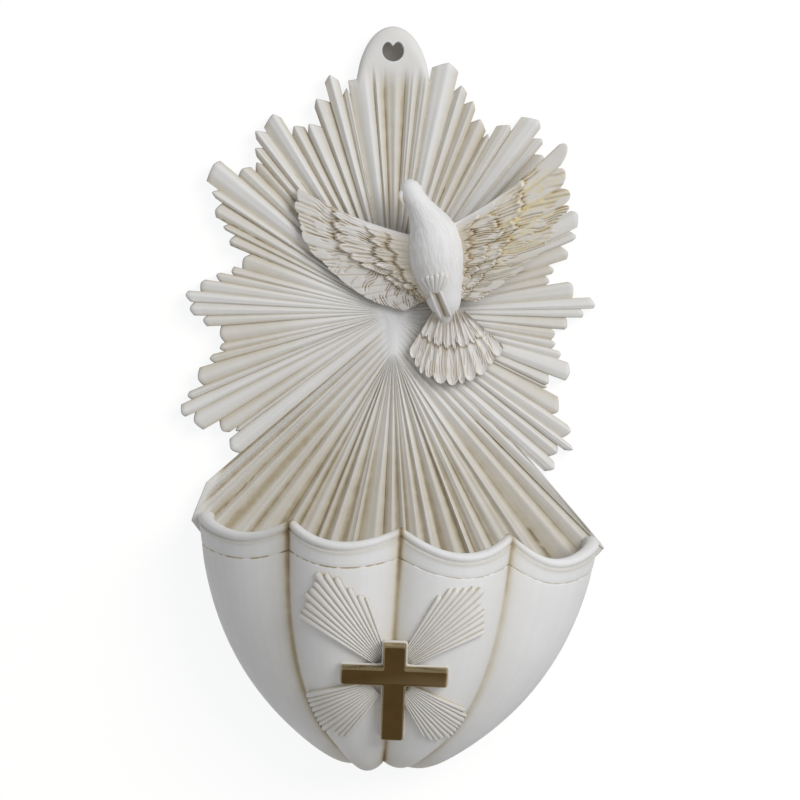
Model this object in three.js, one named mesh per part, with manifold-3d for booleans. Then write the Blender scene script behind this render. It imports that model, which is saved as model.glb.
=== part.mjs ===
// Wall-hung holy water stoup in cast stone: a sunburst back plate with a hanging tab, a four-lobed bowl
// bonded to its foot, a dove flying up across the rays, and a gilt cross with four ray fans on the bowl.
//
// Millimetres, +Z up. The wall is the plane Y = 0 and the stoup stands off it towards -Y. The origin lies on
// the plate's flat back, behind the hub of the sunburst. A depth is a distance in front of the wall, so
// y = -depth.

import * as THREE from "three";
import { mergeVertices } from "three/addons/utils/BufferGeometryUtils.js";
import Module from "manifold-3d";

const wasm = await Module();
wasm.setup();

// Driving dimensions

const glueGap = 0.3; // left between any two pieces that are bonded together

// Sunburst plate
const rayCount = 90;
const plateThickness = 4; // at the bottom of the flutes between the rays
const rayRelief = 1.3; // of a ray's ridge above the flutes
const rayEdge = 0.49; // half width of a ray, as a share of the ray pitch
const tipNotch = 1.8; // a ray's sides stop this much short of its ridge
const tipRound = 1.5; // width of the rounded edge round the rays
const hubRadius = { side: 3.2, low: 2 }; // of its ends, at the side and upper rays and at the lowest ones
const hubRise = 1; // of the smooth hub above the flutes
const hubTop = 3.6; // the side and upper rays start from here, above the hub's middle
const hubFoot = 7; // and the lowest rays from here, below it
const lowRays = { from: 0.5, to: 0.9 }; // sines of the slopes between which the starts move down
const rayAim = 60; // rays cross a circle of this radius at their own angle
const rootLength = 12; // over which a ray rises out of the hub
const shortestRay = 46;
// Rays stand in bundles: the longest ray's angle and reach, and how much shorter rays get per degree from it.
const rayBundles = [
  { angle: 6, reach: 57.5, fall: 0.9 },
  { angle: 30, reach: 61, fall: 1.2 },
  { angle: 55, reach: 70.5, fall: 1.2 },
  { angle: 79, reach: 76, fall: 1.1 },
  { angle: 98, reach: 70.5, fall: 1.5 },
  { angle: 104, reach: 73, fall: 2 },
  { angle: 114, reach: 62.5, fall: 1.2 },
  { angle: 122, reach: 69, fall: 1.2 },
  { angle: 140, reach: 67.5, fall: 1.3 },
  { angle: 173, reach: 60, fall: 1.1 },
  { angle: 203, reach: 64.5, fall: 1.1 },
  { angle: 218, reach: 57.5, fall: 1.2 },
  { angle: 317, reach: 60.5, fall: 1.7 },
  { angle: 325, reach: 61.5, fall: 1.3 },
  { angle: 345, reach: 51.5, fall: 1 },
];
// The rays between these angles run down behind the bowl.
const skirtFrom = 220;
const skirtTo = 316;

// Hanging tab, an arch on the rays between these angles
const tabFrom = 80;
const tabTo = 100;
const tabThickness = 5;
const tabHalfWidth = 10.2;
const tabSpring = 66; // height where the arch springs
const tabRise = 17.5;
const tabFade = 8; // the rays fade into the tab over this length below the spring
const holeRadius = 3;
const holeSides = 28;
const holeBelowTop = 6.8;

// Bowl
const bowlHalfWidth = 54.5;
const bowlProjection = 42;
const bowlHeight = 66.5;
const bowlWall = 3;
const bowlShift = 1.6; // of its middle, to the right of the hub
const rimDrop = 55.5; // of the rim below the hub
const bowlTilt = 3.8; // degrees, clockwise, as the bowl is set on the plate
const sideFullness = 1.76; // exponent of the curve from rim to foot at the wall, where 2 is an ellipse
const frontFullness = 2.4; // and at the front
const footScallops = [4.5, 7, 4, 4.5]; // of the lobes below the middle of the foot
const scallopCurve = { from: 12, to: 80 }; // exponents of its growth towards the foot and its closing there
const grooveAngles = [0, 56, 90, 124, 180]; // where the lobes meet, round the plan from left to right
const lobeSwells = [0.05, 0.12, 0.12, 0.05]; // of each lobe's crest beyond the plain oval, as a share of it
const rimScallops = [4.5, 5, 6, 6.3]; // dips of the rim between the grooves
const lipHeight = 2.6;
const lipSwell = 0.9;
const bandHeight = 7.8; // from the rim to the line under the band
const bandSwell = 0.35;
const cornerReach = 4.8; // of the plate's corners past the ends of the rim
const cornerDrop = 3; // of the corners below the rim
const cornerDepth = 6; // over which the corners run in to the bowl's sides
const cornerSlope = { left: 0.33, right: 0.97 }; // the foot narrows by this much per millimetre above them
const footInset = 1; // of the plate's foot inside the bowl's underside

// Cross and the pad behind it
const crossHeight = 30;
const crossSpan = 29;
const crossPost = 6; // width of the upright
const crossBeam = 5.2; // height of the arms
const crossTurn = 2; // degrees, back from the tilt of the bowl
const crossThickness = 1.8;
const crossBevel = 0.4;
const crossPlace = 0.61; // of the crossing, as a share of the way from the bowl's rim to its foot
const crossBelow = 2 / 3; // share of the cross that hangs below the crossing
const padMargin = 0.6; // of the pad all round the cross
const padThickness = 0.9; // at its thinnest, over the crests of the lobes

// Ray fans round the cross: the angles they span, the longest ray's angle, the place of its tip as a share of
// the way from the bowl's rim to its foot, and how much shorter rays get per degree from it
const fanRidges = 8;
const fanInner = 6;
const fanGround = 0.6; // thickness in the flutes
const fanRelief = 1.1;
const fanNotch = 1.3;
const fanMargin = 1.2; // fans stop this far from the grooves beside them
const fans = [
  { name: "fan_upper_left", from: 112, to: 153, peak: 131, tip: 0.2, fall: 0.38 },
  { name: "fan_upper_right", from: 27, to: 66, peak: 48, tip: 0.251, fall: 0.33 },
  { name: "fan_lower_left", from: 198, to: 242, peak: 217, tip: 0.848, fall: 0.18 },
  { name: "fan_lower_right", from: 298, to: 339, peak: 322, tip: 0.835, fall: 0.2 },
];

// Dove: stations of the body from tail root to crown, with the height of their middle over the rays. The body
// is pegged to the plate at two of them.
const doveHead = { x: 4.6, z: 37.7, height: 9.8, radius: 2.8 };
const doveStations = [
  { x: 14.7, z: 0.8, height: 4.4, radius: 2.2 },
  { x: 14.6, z: 3.1, height: 4.7, radius: 4 },
  { x: 14.1, z: 7, height: 5.1, radius: 6 },
  { x: 13.2, z: 11.8, height: 5.6, radius: 7.3, pegged: true },
  { x: 12, z: 17.6, height: 6.1, radius: 8.2 },
  { x: 10.8, z: 23, height: 6.7, radius: 7.7, pegged: true },
  { x: 8.8, z: 27.2, height: 7.6, radius: 6 },
  { x: 6.9, z: 31.4, height: 8.6, radius: 4.3 },
  { x: 5.5, z: 34.7, height: 9.4, radius: 3.3 },
  doveHead,
  { x: 4.4, z: 39.5, height: 9.7, radius: 1.9 },
  { x: 4.3, z: 40.4, height: 9.5, radius: 0.8 },
];
const bodySides = 18;
const beakRadius = 1.4;
const beakPoint = 0.2; // radius at its point
const beakReach = 4.8; // of its point from the middle of the head
const beakDroop = 58; // degrees below level
const beakTurn = 20; // degrees towards the front
const legs = [
  { from: [9.4, 11, 10.8], to: [13, 1.4, 8.2] },
  { from: [11.8, 11.5, 12.2], to: [15, 1.2, 8.4] },
];
const legRadius = 1.1;
const pegRadius = 2.2;
const pegLength = 2; // below the flutes

// Feathers lie in layers on the ruled surface between a line of roots and a curve of tips. Points are x, z
// and height over the rays. A layer reaches to a share of the way from roots to tips; the columns of the
// surface divide evenly among its feathers.
const featherColumns = 48;
const featherRelief = 1.1; // of a feather's middle over its edges
const tipFullness = 0.4; // share of that relief at a feather's tip
const featherNotch = 0.09; // of the way from roots to tips, between two feathers
const layerStep = 0.02; // of the way from roots to tips, at the end of the layer above
const layerRise = 0.9; // of a layer over the one beyond it
const plumageThickness = 1.3; // behind the feathers' edges
const wingLayers = [
  { feathers: 12, to: 1 },
  { feathers: 8, to: 0.66 },
  { feathers: 6, to: 0.38 },
];
const tailLayers = [
  { feathers: 12, to: 1 },
  { feathers: 8, to: 0.56 },
];
const leftWing = {
  roots: [[5, 25, 5.6], [10.5, 7.6, 5]],
  tips: [
    [-28, 39, 1.7], [-27.4, 30, 1.7], [-24, 21.6, 1.7],
    [-16.4, 13.8, 1.7], [-8, 7.6, 1.8], [3, 3.8, 2.2],
  ],
  layers: wingLayers,
};
const rightWing = {
  roots: [[14, 26.6, 6.4], [19, 7.6, 5.4]],
  tips: [
    [48.2, 52.4, 12], [48.8, 43.6, 12.4], [50.4, 35.4, 12.4], [46.8, 29.4, 11.6],
    [43.8, 22.8, 10.8], [37, 16.4, 8.8], [30.4, 10.8, 6.6], [23, 6.2, 5],
  ],
  layers: wingLayers,
};
const tailFan = {
  roots: [[10.6, 3, 4], [20.4, 3.4, 4.2]],
  tips: [[4, -7.6, 2], [8.2, -14, 2.2], [16, -17.2, 2.4], [25, -14.6, 2.4], [31.4, -6.2, 2]],
  layers: tailLayers,
};
const tenonRadius = 1.3;
const tenonLength = 3; // into the body
const tenonGrip = 7; // from the line of roots into the wing or tail
const tenonRise = 0.6; // above the surface that the feathers lie on

const castStone = { color: 0xe6e1d6, roughness: 0.75, metalness: 0 };
const paleStone = { color: 0xe9e7e4, roughness: 0.7, metalness: 0 };
const gilt = { color: 0x8a6a2c, roughness: 0.35, metalness: 0.9 };

// Derived sizes

const rayPitch = 360 / rayCount;
const seatDepth = plateThickness + glueGap; // the bowl's back edge
const onRays = plateThickness + rayRelief + glueGap; // the dove's flat back
const lobes = grooveAngles.length - 1;
const tabTop = tabSpring + tabRise;
const crossDrop = crossPlace * bowlHeight; // of the crossing below the rim

const radians = THREE.MathUtils.degToRad;
const mix = THREE.MathUtils.lerp;
const weld = 1e-4; // points closer than this are one
const cutPast = 1; // cutters run this far past the faces they open
const barSides = 12;
const point = (x, z, depth) => new THREE.Vector3(x, -depth, z);
const overRays = ([x, z, height]) => point(x, z, onRays + height);
const range = (count) => Array.from({ length: count }, (_, i) => i);

// Solids

// A closed geometry from points and triangles: equal points are merged and the faces are turned outwards.
function closedGeometry(points, triangles) {
  const open = new THREE.BufferGeometry().setFromPoints(points).setIndex(triangles.flat());
  const geometry = mergeVertices(open, weld);
  const index = Array.from(geometry.index.array);
  const kept = range(index.length / 3)
    .map((i) => index.slice(3 * i, 3 * i + 3))
    .filter(([a, b, c]) => a !== b && b !== c && c !== a);
  const corner = (i) => new THREE.Vector3().fromBufferAttribute(geometry.attributes.position, i);
  const volume = kept.reduce((sum, [a, b, c]) => sum + corner(a).dot(corner(b).cross(corner(c))), 0);
  return geometry.setIndex(kept.flatMap(([a, b, c]) => (volume < 0 ? [a, c, b] : [a, b, c])));
}

const meanOf = (ring) => ring.reduce((sum, p) => sum.add(p), new THREE.Vector3()).divideScalar(ring.length);

// A geometry skinned over closed rings of equal point counts, with a fan on the first and the last ring.
function skin(rings, firstCap = meanOf(rings[0]), lastCap = meanOf(rings.at(-1))) {
  const sides = rings[0].length;
  const points = [...rings.flat(), firstCap, lastCap];
  const last = (rings.length - 1) * sides;
  const triangles = [];
  for (const i of range(sides)) {
    const next = (i + 1) % sides;
    for (const ring of range(rings.length - 1)) {
      const a = ring * sides + i;
      const b = ring * sides + next;
      triangles.push([a, b, b + sides], [a, b + sides, a + sides]);
    }
    triangles.push([next, i, points.length - 2], [last + i, last + next, points.length - 1]);
  }
  return closedGeometry(points, triangles);
}

// A geometry between a front and a back sheet, each a function of column and row, closed round its border.
function thickSheet(columns, rows, front, back) {
  const across = columns + 1;
  const places = range(across * (rows + 1)).map((i) => [i % across, Math.floor(i / across)]);
  const points = [...places.map((place) => front(...place)), ...places.map((place) => back(...place))];
  const behind = places.length;
  const triangles = [];
  const square = (a, b, c, d) => triangles.push([a, b, c], [a, c, d]);
  for (const row of range(rows)) {
    for (const column of range(columns)) {
      const a = row * across + column;
      square(a, a + 1, a + 1 + across, a + across);
      square(behind + a, behind + a + across, behind + a + 1 + across, behind + a + 1);
    }
  }
  const border = [
    ...range(columns),
    ...range(rows).map((i) => i * across + columns),
    ...range(columns).map((i) => rows * across + columns - i),
    ...range(rows).map((i) => (rows - i) * across),
  ];
  border.forEach((a, i) => {
    const b = border[(i + 1) % border.length];
    square(b, a, behind + a, behind + b);
  });
  return closedGeometry(points, triangles);
}

// A geometry as a solid that can be joined and cut.
function solid(geometry) {
  const bare = geometry.clone();
  bare.deleteAttribute("normal");
  bare.deleteAttribute("uv");
  const merged = mergeVertices(bare, weld);
  const mesh = new wasm.Mesh({
    numProp: 3,
    vertProperties: merged.attributes.position.array,
    triVerts: new Uint32Array(merged.index.array),
  });
  return new wasm.Manifold(mesh);
}

const join = (solids) => solids.reduce((whole, next) => whole.add(next));

// A solid as a named mesh with its own material.
function piece(name, made, finish) {
  const { vertProperties, triVerts } = made.getMesh();
  const geometry = new THREE.BufferGeometry()
    .setAttribute("position", new THREE.BufferAttribute(vertProperties, 3))
    .setIndex(new THREE.BufferAttribute(triVerts, 1));
  const mesh = new THREE.Mesh(geometry, new THREE.MeshStandardMaterial(finish));
  mesh.name = name;
  return mesh;
}

// A round bar from one point to another, tapered to a second radius.
function bar(from, to, radius, endRadius = radius, sides = barSides) {
  const axis = to.clone().sub(from);
  const upright = new THREE.Vector3(0, 1, 0);
  const turn = new THREE.Quaternion().setFromUnitVectors(upright, axis.clone().normalize());
  const geometry = new THREE.CylinderGeometry(endRadius, radius, axis.length(), sides);
  const middle = from.clone().lerp(to, 0.5);
  return solid(geometry.applyQuaternion(turn).translate(middle.x, middle.y, middle.z));
}

// Sunburst plate

const angleBetween = (a, b) => Math.abs(THREE.MathUtils.euclideanModulo(a - b + 180, 360) - 180);

const bundledReach = (angle) =>
  Math.max(shortestRay, ...rayBundles.map((b) => b.reach - b.fall * angleBetween(angle, b.angle)));

// How far a line reaches before it leaves an ellipse for good.
function reachInEllipse(start, direction, centre, halfWidth, halfHeight) {
  const size = new THREE.Vector2(halfWidth, halfHeight);
  const from = start.clone().sub(centre).divide(size);
  const along = direction.clone().divide(size);
  const a = along.lengthSq();
  const b = from.dot(along);
  const inside = Math.max(b * b - a * (from.lengthSq() - 1), 0);
  return (Math.sqrt(inside) - b) / a;
}

// The same for the bowl's outline on the plate, moved out by grow: narrowing above the corners just below the
// rim's ends, and under them the curve of the bowl's sides. The bowl is tilted.
function reachInBowl(start, direction, grow, corner) {
  const turn = radians(bowlTilt);
  const origin = new THREE.Vector2();
  const local = start.clone().sub(new THREE.Vector2(bowlShift, -rimDrop)).rotateAround(origin, turn);
  const heading = direction.clone().rotateAround(origin, turn);
  return lastWhere(2 * (rimDrop + bowlHeight), (reach) => {
    const place = local.clone().addScaledVector(heading, reach);
    const overCorner = place.y + cornerDrop;
    const past = corner * THREE.MathUtils.clamp(1 + overCorner / cornerDepth, 0, 1);
    const slope = place.x < 0 ? cornerSlope.left : cornerSlope.right;
    const half = bowlHalfWidth + grow + past - slope * Math.max(overCorner, 0);
    return Math.abs(place.x) < half * taperAt(place.y, bowlHeight + grow, sideFullness);
  });
}

// The share of the rim's size that is left at height z of a bowl of this height.
function taperAt(z, height, fullness) {
  const drop = THREE.MathUtils.clamp(-z / height, 0, 1);
  return (1 - drop ** fullness) ** (1 / fullness);
}

// The largest number up to a limit for which a test holds, where it holds up to some number and not beyond.
function lastWhere(limit, test) {
  let [low, high] = [0, limit];
  while (high - low > weld / 100) {
    const middle = (low + high) / 2;
    if (test(middle)) low = middle;
    else high = middle;
  }
  return low;
}

// The plate along one line from the hub: where its ray ends, where the flat or rounding beyond it starts,
// where its rim is, and the depths there.
function plateLine(rayAngle, angle, onRidge) {
  const across = Math.cos(radians(angle));
  const up = Math.sin(radians(angle));
  const lowness = THREE.MathUtils.smoothstep(-up, lowRays.from, lowRays.to);
  const start = new THREE.Vector2(0, mix(hubTop, -hubFoot, lowness));
  const direction = new THREE.Vector2(rayAim * across, rayAim * up).sub(start).normalize();
  const at = (reach, depth) => point(start.x + direction.x * reach, start.y + direction.y * reach, depth);
  const root = mix(hubRadius.side, hubRadius.low, lowness);
  const top = plateThickness + (onRidge ? rayRelief : 0);
  if (rayAngle > skirtFrom && rayAngle < skirtTo) {
    const rim = reachInBowl(start, direction, -footInset, footInset + cornerReach);
    const seat = reachInBowl(start, direction, -bowlWall - 2 * glueGap, 0);
    const low = plateThickness;
    return { at, root, top, full: seat - tipRound, flat: seat, flatDepth: low, rim, rimDepth: low };
  }
  const radius = bundledReach(rayAngle) - (onRidge ? 0 : tipNotch);
  const tip = reachInEllipse(start, direction, new THREE.Vector2(), radius, radius);
  if (rayAngle > tabFrom && rayAngle < tabTo) {
    const arch = reachInEllipse(start, direction, new THREE.Vector2(0, tabSpring), tabHalfWidth, tabRise);
    const rim = Math.max(arch, tip);
    const flat = tabSpring - start.y;
    const [flatDepth, rimDepth] = [tabThickness, tabThickness];
    return { at, root, top, full: flat - tabFade, flat, flatDepth, rim, rimDepth };
  }
  const [full, flat] = [tip - 2 * tipRound, tip - tipRound];
  return { at, root, top, full, flat, flatDepth: top, rim: tip, rimDepth: top / 2 };
}

function sunburstPlate() {
  const lines = range(rayCount).flatMap((ray) =>
    [-rayEdge, 0, rayEdge].map((side) => {
      const middle = (ray + 0.5) * rayPitch;
      return plateLine(middle, middle + side * rayPitch, side === 0);
    }),
  );
  const hubDepth = plateThickness + hubRise;
  const rings = [
    lines.map((line) => line.at(line.root, hubDepth)),
    lines.map((line) => line.at(line.root + rootLength, line.top)),
    lines.map((line) => line.at(line.full, line.top)),
    lines.map((line) => line.at(line.flat, line.flatDepth)),
    lines.map((line) => line.at(line.rim, line.rimDepth)),
    lines.map((line) => line.at(line.rim, 0)),
  ];
  const plate = solid(skin(rings, point(0, 0, hubDepth), point(0, 0, 0)));
  const holeHeight = tabTop - holeBelowTop;
  const [back, front] = [-cutPast, tabThickness + cutPast].map((depth) => point(0, holeHeight, depth));
  const hole = bar(back, front, holeRadius, holeRadius, holeSides);
  return plate.subtract(hole).subtract(dovePegs(glueGap));
}

// Bowl, in its own frame: x to the right, z up from the rim, depth from the plate's seat

const lobeCurve = (u) => Math.abs(Math.sin(Math.PI * u));
const lobeAt = (u) => Math.min(Math.floor(u), lobes - 1);
const turnAt = (u) => radians(mix(grooveAngles[lobeAt(u)], grooveAngles[lobeAt(u) + 1], u - lobeAt(u)));

// The rim dips between two grooves by the place between them as it is seen from the front.
function rimLevel(u) {
  const left = Math.cos(turnAt(lobeAt(u)));
  const right = Math.cos(radians(grooveAngles[lobeAt(u) + 1]));
  return -rimScallops[lobeAt(u)] * Math.sin((Math.PI * (left - Math.cos(turnAt(u)))) / (left - right));
}

// The bowl's surface u lobes from the left and at height z, moved outwards by grow.
function bowlPoint(u, z, grow) {
  const turn = turnAt(u);
  const taper = taperAt(z, bowlHeight + grow, mix(sideFullness, frontFullness, Math.sin(turn)));
  const drop = Math.min(-z / (bowlHeight + grow), 1);
  const swell = taper * (1 + lobeSwells[lobeAt(u)] * lobeCurve(u));
  const x = -Math.cos(turn) * (bowlHalfWidth + grow) * swell;
  const sag = footScallops[lobeAt(u)] * lobeCurve(u) * (drop ** scallopCurve.from - drop ** scallopCurve.to);
  return point(x, z - sag, Math.sin(turn) * (bowlProjection + grow) * swell);
}

// Depth of the bowl's outer surface where it is seen at x and z from the front.
const bowlDepth = (x, z) => -bowlPoint(lastWhere(lobes, (u) => bowlPoint(u, z, 0).x < x), z, 0).y;

// A point a given height off the bowl's outer surface, square to it, over the place seen at x and z.
function offBowl(x, z, height) {
  const foot = point(x, z, bowlDepth(x, z));
  const beside = point(x + glueGap, z, bowlDepth(x + glueGap, z)).sub(foot);
  const above = point(x, z + glueGap, bowlDepth(x, z + glueGap)).sub(foot);
  return foot.addScaledVector(beside.cross(above).normalize(), height);
}

const lobeColumns = 8;
const bowlCurveRows = 9;

// Distances of the bowl's rows below the rim: lip, band, then round the curve down to the foot.
function bowlRows(reach) {
  const band = [0, lipHeight, lipHeight + glueGap, bandHeight, bandHeight + glueGap];
  const turn = (row) => Math.sin((Math.PI / 2) * ((row + 1) / bowlCurveRows));
  return [...band, ...range(bowlCurveRows).map((row) => mix(band.at(-1), reach, turn(row)))];
}

const rimSwell = (below) => (below <= lipHeight ? lipSwell : below <= bandHeight ? bandSwell : 0);

// A shell between the bowl's surface moved out by outer and moved in by inner.
function bowlShell(outer, inner) {
  const sheet = (grow, edge) => (column, row) => {
    const u = column / lobeColumns;
    const rim = rimLevel(u);
    const below = bowlRows(rim + bowlHeight + grow)[row];
    return bowlPoint(u, rim - below, grow + edge * rimSwell(below));
  };
  return solid(thickSheet(lobes * lobeColumns, bowlRows(1).length - 1, sheet(outer, 1), sheet(-inner, 0)));
}

const bowl = () => bowlShell(0, bowlWall);

// What the pieces on the bowl's front are cut by, so that their backs fit it.
const bowlBlank = () => bowlShell(glueGap, bowlProjection / 2);

// Cross and its pad

function crossShape(grow) {
  const post = crossPost / 2 + grow;
  const beam = crossBeam / 2 + grow;
  const reach = crossSpan / 2 + grow;
  const top = crossHeight * (1 - crossBelow) + grow;
  const foot = crossHeight * crossBelow + grow;
  const right = [[post, top], [post, beam], [reach, beam], [reach, -beam], [post, -beam], [post, -foot]];
  const left = right.map(([x, z]) => [-x, z]).reverse();
  const turned = (x, z) => new THREE.Vector2(x, z).rotateAround(new THREE.Vector2(), radians(crossTurn));
  return new THREE.Shape([...right, ...left].map(([x, z]) => turned(x, z)));
}

// The cross lies on a plane that leans with the bowl's front and clears it all over by the pad's thickness.
function crossPlane() {
  const top = crossHeight * (1 - crossBelow);
  const foot = -crossHeight * crossBelow;
  const recess = bowlDepth(0, top - crossDrop) - bowlDepth(0, foot - crossDrop);
  const lean = Math.atan2(recess, top - foot);
  const clearing = ({ x, y }) => bowlDepth(x, y * Math.cos(lean) - crossDrop) - y * Math.sin(lean);
  const depths = crossShape(padMargin).getSpacedPoints(edgeSamples).map(clearing);
  return { lean, depth: Math.max(...depths) + padThickness };
}

const edgeSamples = 80;
const leaning = crossPlane();
const crossFrame = new THREE.Matrix4()
  .makeRotationX(Math.PI / 2 + leaning.lean)
  .setPosition(point(0, -crossDrop, leaning.depth));

// The pad before its back is fitted to the bowl.
function padBlank(grow) {
  const behind = bowlProjection / 3;
  const shape = crossShape(padMargin + grow);
  const blank = new THREE.ExtrudeGeometry(shape, { depth: behind + grow, bevelEnabled: false });
  return solid(blank.translate(0, 0, -behind).applyMatrix4(crossFrame));
}

const crossPad = () => padBlank(0).subtract(bowlBlank());

function cross() {
  const bars = new THREE.ExtrudeGeometry(crossShape(0), {
    depth: crossThickness - 2 * crossBevel,
    bevelThickness: crossBevel,
    bevelSize: crossBevel,
    bevelOffset: -crossBevel,
    bevelSegments: 1,
  });
  return solid(bars.translate(0, 0, glueGap + crossBevel).applyMatrix4(crossFrame));
}

// Ray fans, which follow the bowl's lobes

const fanRows = 5;

function fan({ from, to, peak, tip, fall }) {
  const columns = 2 * fanRidges;
  const reach = (crossDrop - tip * bowlHeight) / Math.sin(radians(peak));
  const sheet = (ground, relief) => (column, row) => {
    const angle = mix(from, to, column / columns);
    const onRidge = column % 2 === 1;
    const end = reach - fall * Math.abs(angle - peak) - (onRidge ? 0 : fanNotch);
    const out = mix(fanInner, end, row / fanRows);
    const z = out * Math.sin(radians(angle)) - crossDrop;
    const farLeft = bowlPoint(1, z, 0).x + fanMargin;
    const farRight = bowlPoint(lobes - 1, z, 0).x - fanMargin;
    const x = THREE.MathUtils.clamp(out * Math.cos(radians(angle)), farLeft, farRight);
    const rise = onRidge && row < fanRows ? relief : 0;
    return offBowl(x, z, ground + rise);
  };
  const blank = thickSheet(columns, fanRows, sheet(glueGap + fanGround, fanRelief), sheet(-fanGround, 0));
  return solid(blank).subtract(bowlBlank()).subtract(padBlank(glueGap));
}

// Dove

// Its body, thickened by grow: rings across the line of stations.
function plumpBody(grow) {
  const last = doveStations.length - 1;
  const rings = doveStations.map((station, i) => {
    const before = doveStations[Math.max(i - 1, 0)];
    const after = doveStations[Math.min(i + 1, last)];
    const along = new THREE.Vector2(after.x - before.x, after.z - before.z).normalize();
    const end = (i === last ? grow : 0) - (i === 0 ? grow : 0);
    return range(bodySides).map((side) => {
      const turn = (2 * Math.PI * side) / bodySides;
      const across = (station.radius + grow) * Math.cos(turn);
      const height = station.height + (station.radius + grow) * Math.sin(turn);
      return overRays([
        station.x + along.y * across + along.x * end,
        station.z - along.x * across + along.y * end,
        height,
      ]);
    });
  });
  return solid(skin(rings));
}

// Pegs from the body's flat back into the plate.
function dovePegs(grow) {
  return join(
    doveStations
      .filter(({ pegged }) => pegged)
      .map(({ x, z, height }) => {
        const foot = point(x, z, plateThickness - pegLength - grow);
        return bar(foot, overRays([x, z, height]), pegRadius + grow);
      }),
  );
}

function beak() {
  const { x, z, height } = doveHead;
  const ahead = beakReach * Math.cos(radians(beakDroop));
  const across = ahead * Math.cos(radians(beakTurn));
  const out = ahead * Math.sin(radians(beakTurn));
  const end = [x - across, z - beakReach * Math.sin(radians(beakDroop)), height + out];
  return bar(overRays([x, z, height]), overRays(end), beakRadius, beakPoint);
}

function doveBody() {
  const limbs = legs.map(({ from, to }) => bar(overRays(from), overRays(to), legRadius));
  const bird = join([plumpBody(0), beak(), ...limbs]);
  const behind = solid(new THREE.BoxGeometry(2 * tabTop, onRays, 2 * tabTop).translate(0, -onRays / 2, 0));
  const mortises = join([leftWing, rightWing, tailFan].map((spread) => tenon(spread, glueGap)));
  return bird.subtract(behind).add(dovePegs(0)).subtract(mortises);
}

// A place on a spread of feathers: t along its roots and tips, share of the way from root to tip.
function onSpread({ roots, tips }, t, share) {
  const root = new THREE.LineCurve3(...roots.map(overRays)).getPoint(t);
  return root.lerp(new THREE.CatmullRomCurve3(tips.map(overRays)).getPoint(t), share);
}

const towardsFront = new THREE.Vector3(0, -1, 0);

// How full a layer's feathers are at a column: 1 along their middles, 0 between two of them. Every other
// layer is set half a feather to the side.
function featherCrown(layers, layer, column) {
  const place = (column / featherColumns) * layers[layer].feathers + (layer % 2) / 2;
  return 1 - Math.abs(2 * (place % 1) - 1) ** 2;
}

// A wing or the tail before it is fitted to the body. Two rows of points carry each layer: one at its tips,
// and one at the foot of the step up to the next layer.
function plumage(spread) {
  const { layers } = spread;
  const tip = (column, layer) => layers[layer].to - featherNotch * (1 - featherCrown(layers, layer, column));
  const place = (column, row) => {
    const layer = Math.floor(row / 2);
    if (row % 2 === 0) return { layer, share: tip(column, layer), fullness: tipFullness };
    const share = layer + 1 < layers.length ? tip(column, layer + 1) + layerStep : 0;
    return { layer, share, fullness: 1 };
  };
  const front = (column, row) => {
    const { layer, share, fullness } = place(column, row);
    const height = layer * layerRise + fullness * featherRelief * featherCrown(layers, layer, column);
    return onSpread(spread, column / featherColumns, share).addScaledVector(towardsFront, height);
  };
  const back = (column, row) => {
    const { share } = place(column, row);
    return onSpread(spread, column / featherColumns, share).addScaledVector(towardsFront, -plumageThickness);
  };
  return solid(thickSheet(featherColumns, 2 * layers.length - 1, front, back));
}

// The round tenon that holds a wing or the tail in the body.
function tenon(spread, grow) {
  const root = onSpread(spread, 0.5, 0);
  const out = onSpread(spread, 0.5, 1).sub(root).normalize();
  const rise = new THREE.Vector3().addScaledVector(towardsFront, tenonRise);
  const inner = root.clone().addScaledVector(out, -tenonLength - grow).add(rise);
  return bar(inner, root.addScaledVector(out, tenonGrip).add(rise), tenonRadius + grow);
}

const seatedPlumage = (spread) => plumage(spread).subtract(plumpBody(glueGap)).add(tenon(spread, 0));

// Assembly

const stoup = new THREE.Group();
stoup.add(
  piece("sunburst_plate", sunburstPlate(), castStone),
  piece("dove_body", doveBody(), paleStone),
  piece("left_wing", seatedPlumage(leftWing), paleStone),
  piece("right_wing", seatedPlumage(rightWing), paleStone),
  piece("tail", seatedPlumage(tailFan), paleStone),
);

const bowlFrame = new THREE.Group();
bowlFrame.position.copy(point(bowlShift, -rimDrop, seatDepth));
bowlFrame.rotation.y = radians(bowlTilt);
bowlFrame.add(
  piece("bowl", bowl(), castStone),
  ...fans.map((rays) => piece(rays.name, fan(rays), castStone)),
  piece("cross_pad", crossPad(), castStone),
  piece("cross", cross(), gilt),
);
stoup.add(bowlFrame);

export default stoup;
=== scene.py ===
import math

import bmesh
import bpy
import numpy as np
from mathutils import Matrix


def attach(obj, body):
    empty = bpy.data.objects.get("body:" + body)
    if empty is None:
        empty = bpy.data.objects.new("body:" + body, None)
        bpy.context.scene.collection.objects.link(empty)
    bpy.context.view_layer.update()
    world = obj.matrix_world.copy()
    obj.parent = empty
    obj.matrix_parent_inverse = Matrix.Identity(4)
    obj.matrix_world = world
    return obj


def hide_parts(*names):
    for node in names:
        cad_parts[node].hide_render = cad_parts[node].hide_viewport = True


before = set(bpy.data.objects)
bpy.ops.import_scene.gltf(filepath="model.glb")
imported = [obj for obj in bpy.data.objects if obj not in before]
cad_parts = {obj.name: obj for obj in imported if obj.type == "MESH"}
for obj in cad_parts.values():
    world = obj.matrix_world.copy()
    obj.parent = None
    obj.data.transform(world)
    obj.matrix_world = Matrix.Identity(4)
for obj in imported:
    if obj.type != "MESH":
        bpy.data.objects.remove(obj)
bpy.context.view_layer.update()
print("frame loaded:", len(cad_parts), "nodes")

mm = 0.001  # sizes below are millimetres; a depth is a distance in front of the wall, so y is minus it


# Small tools for arrays

def mix(a, b, t):
    return a + (b - a) * t


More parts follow.
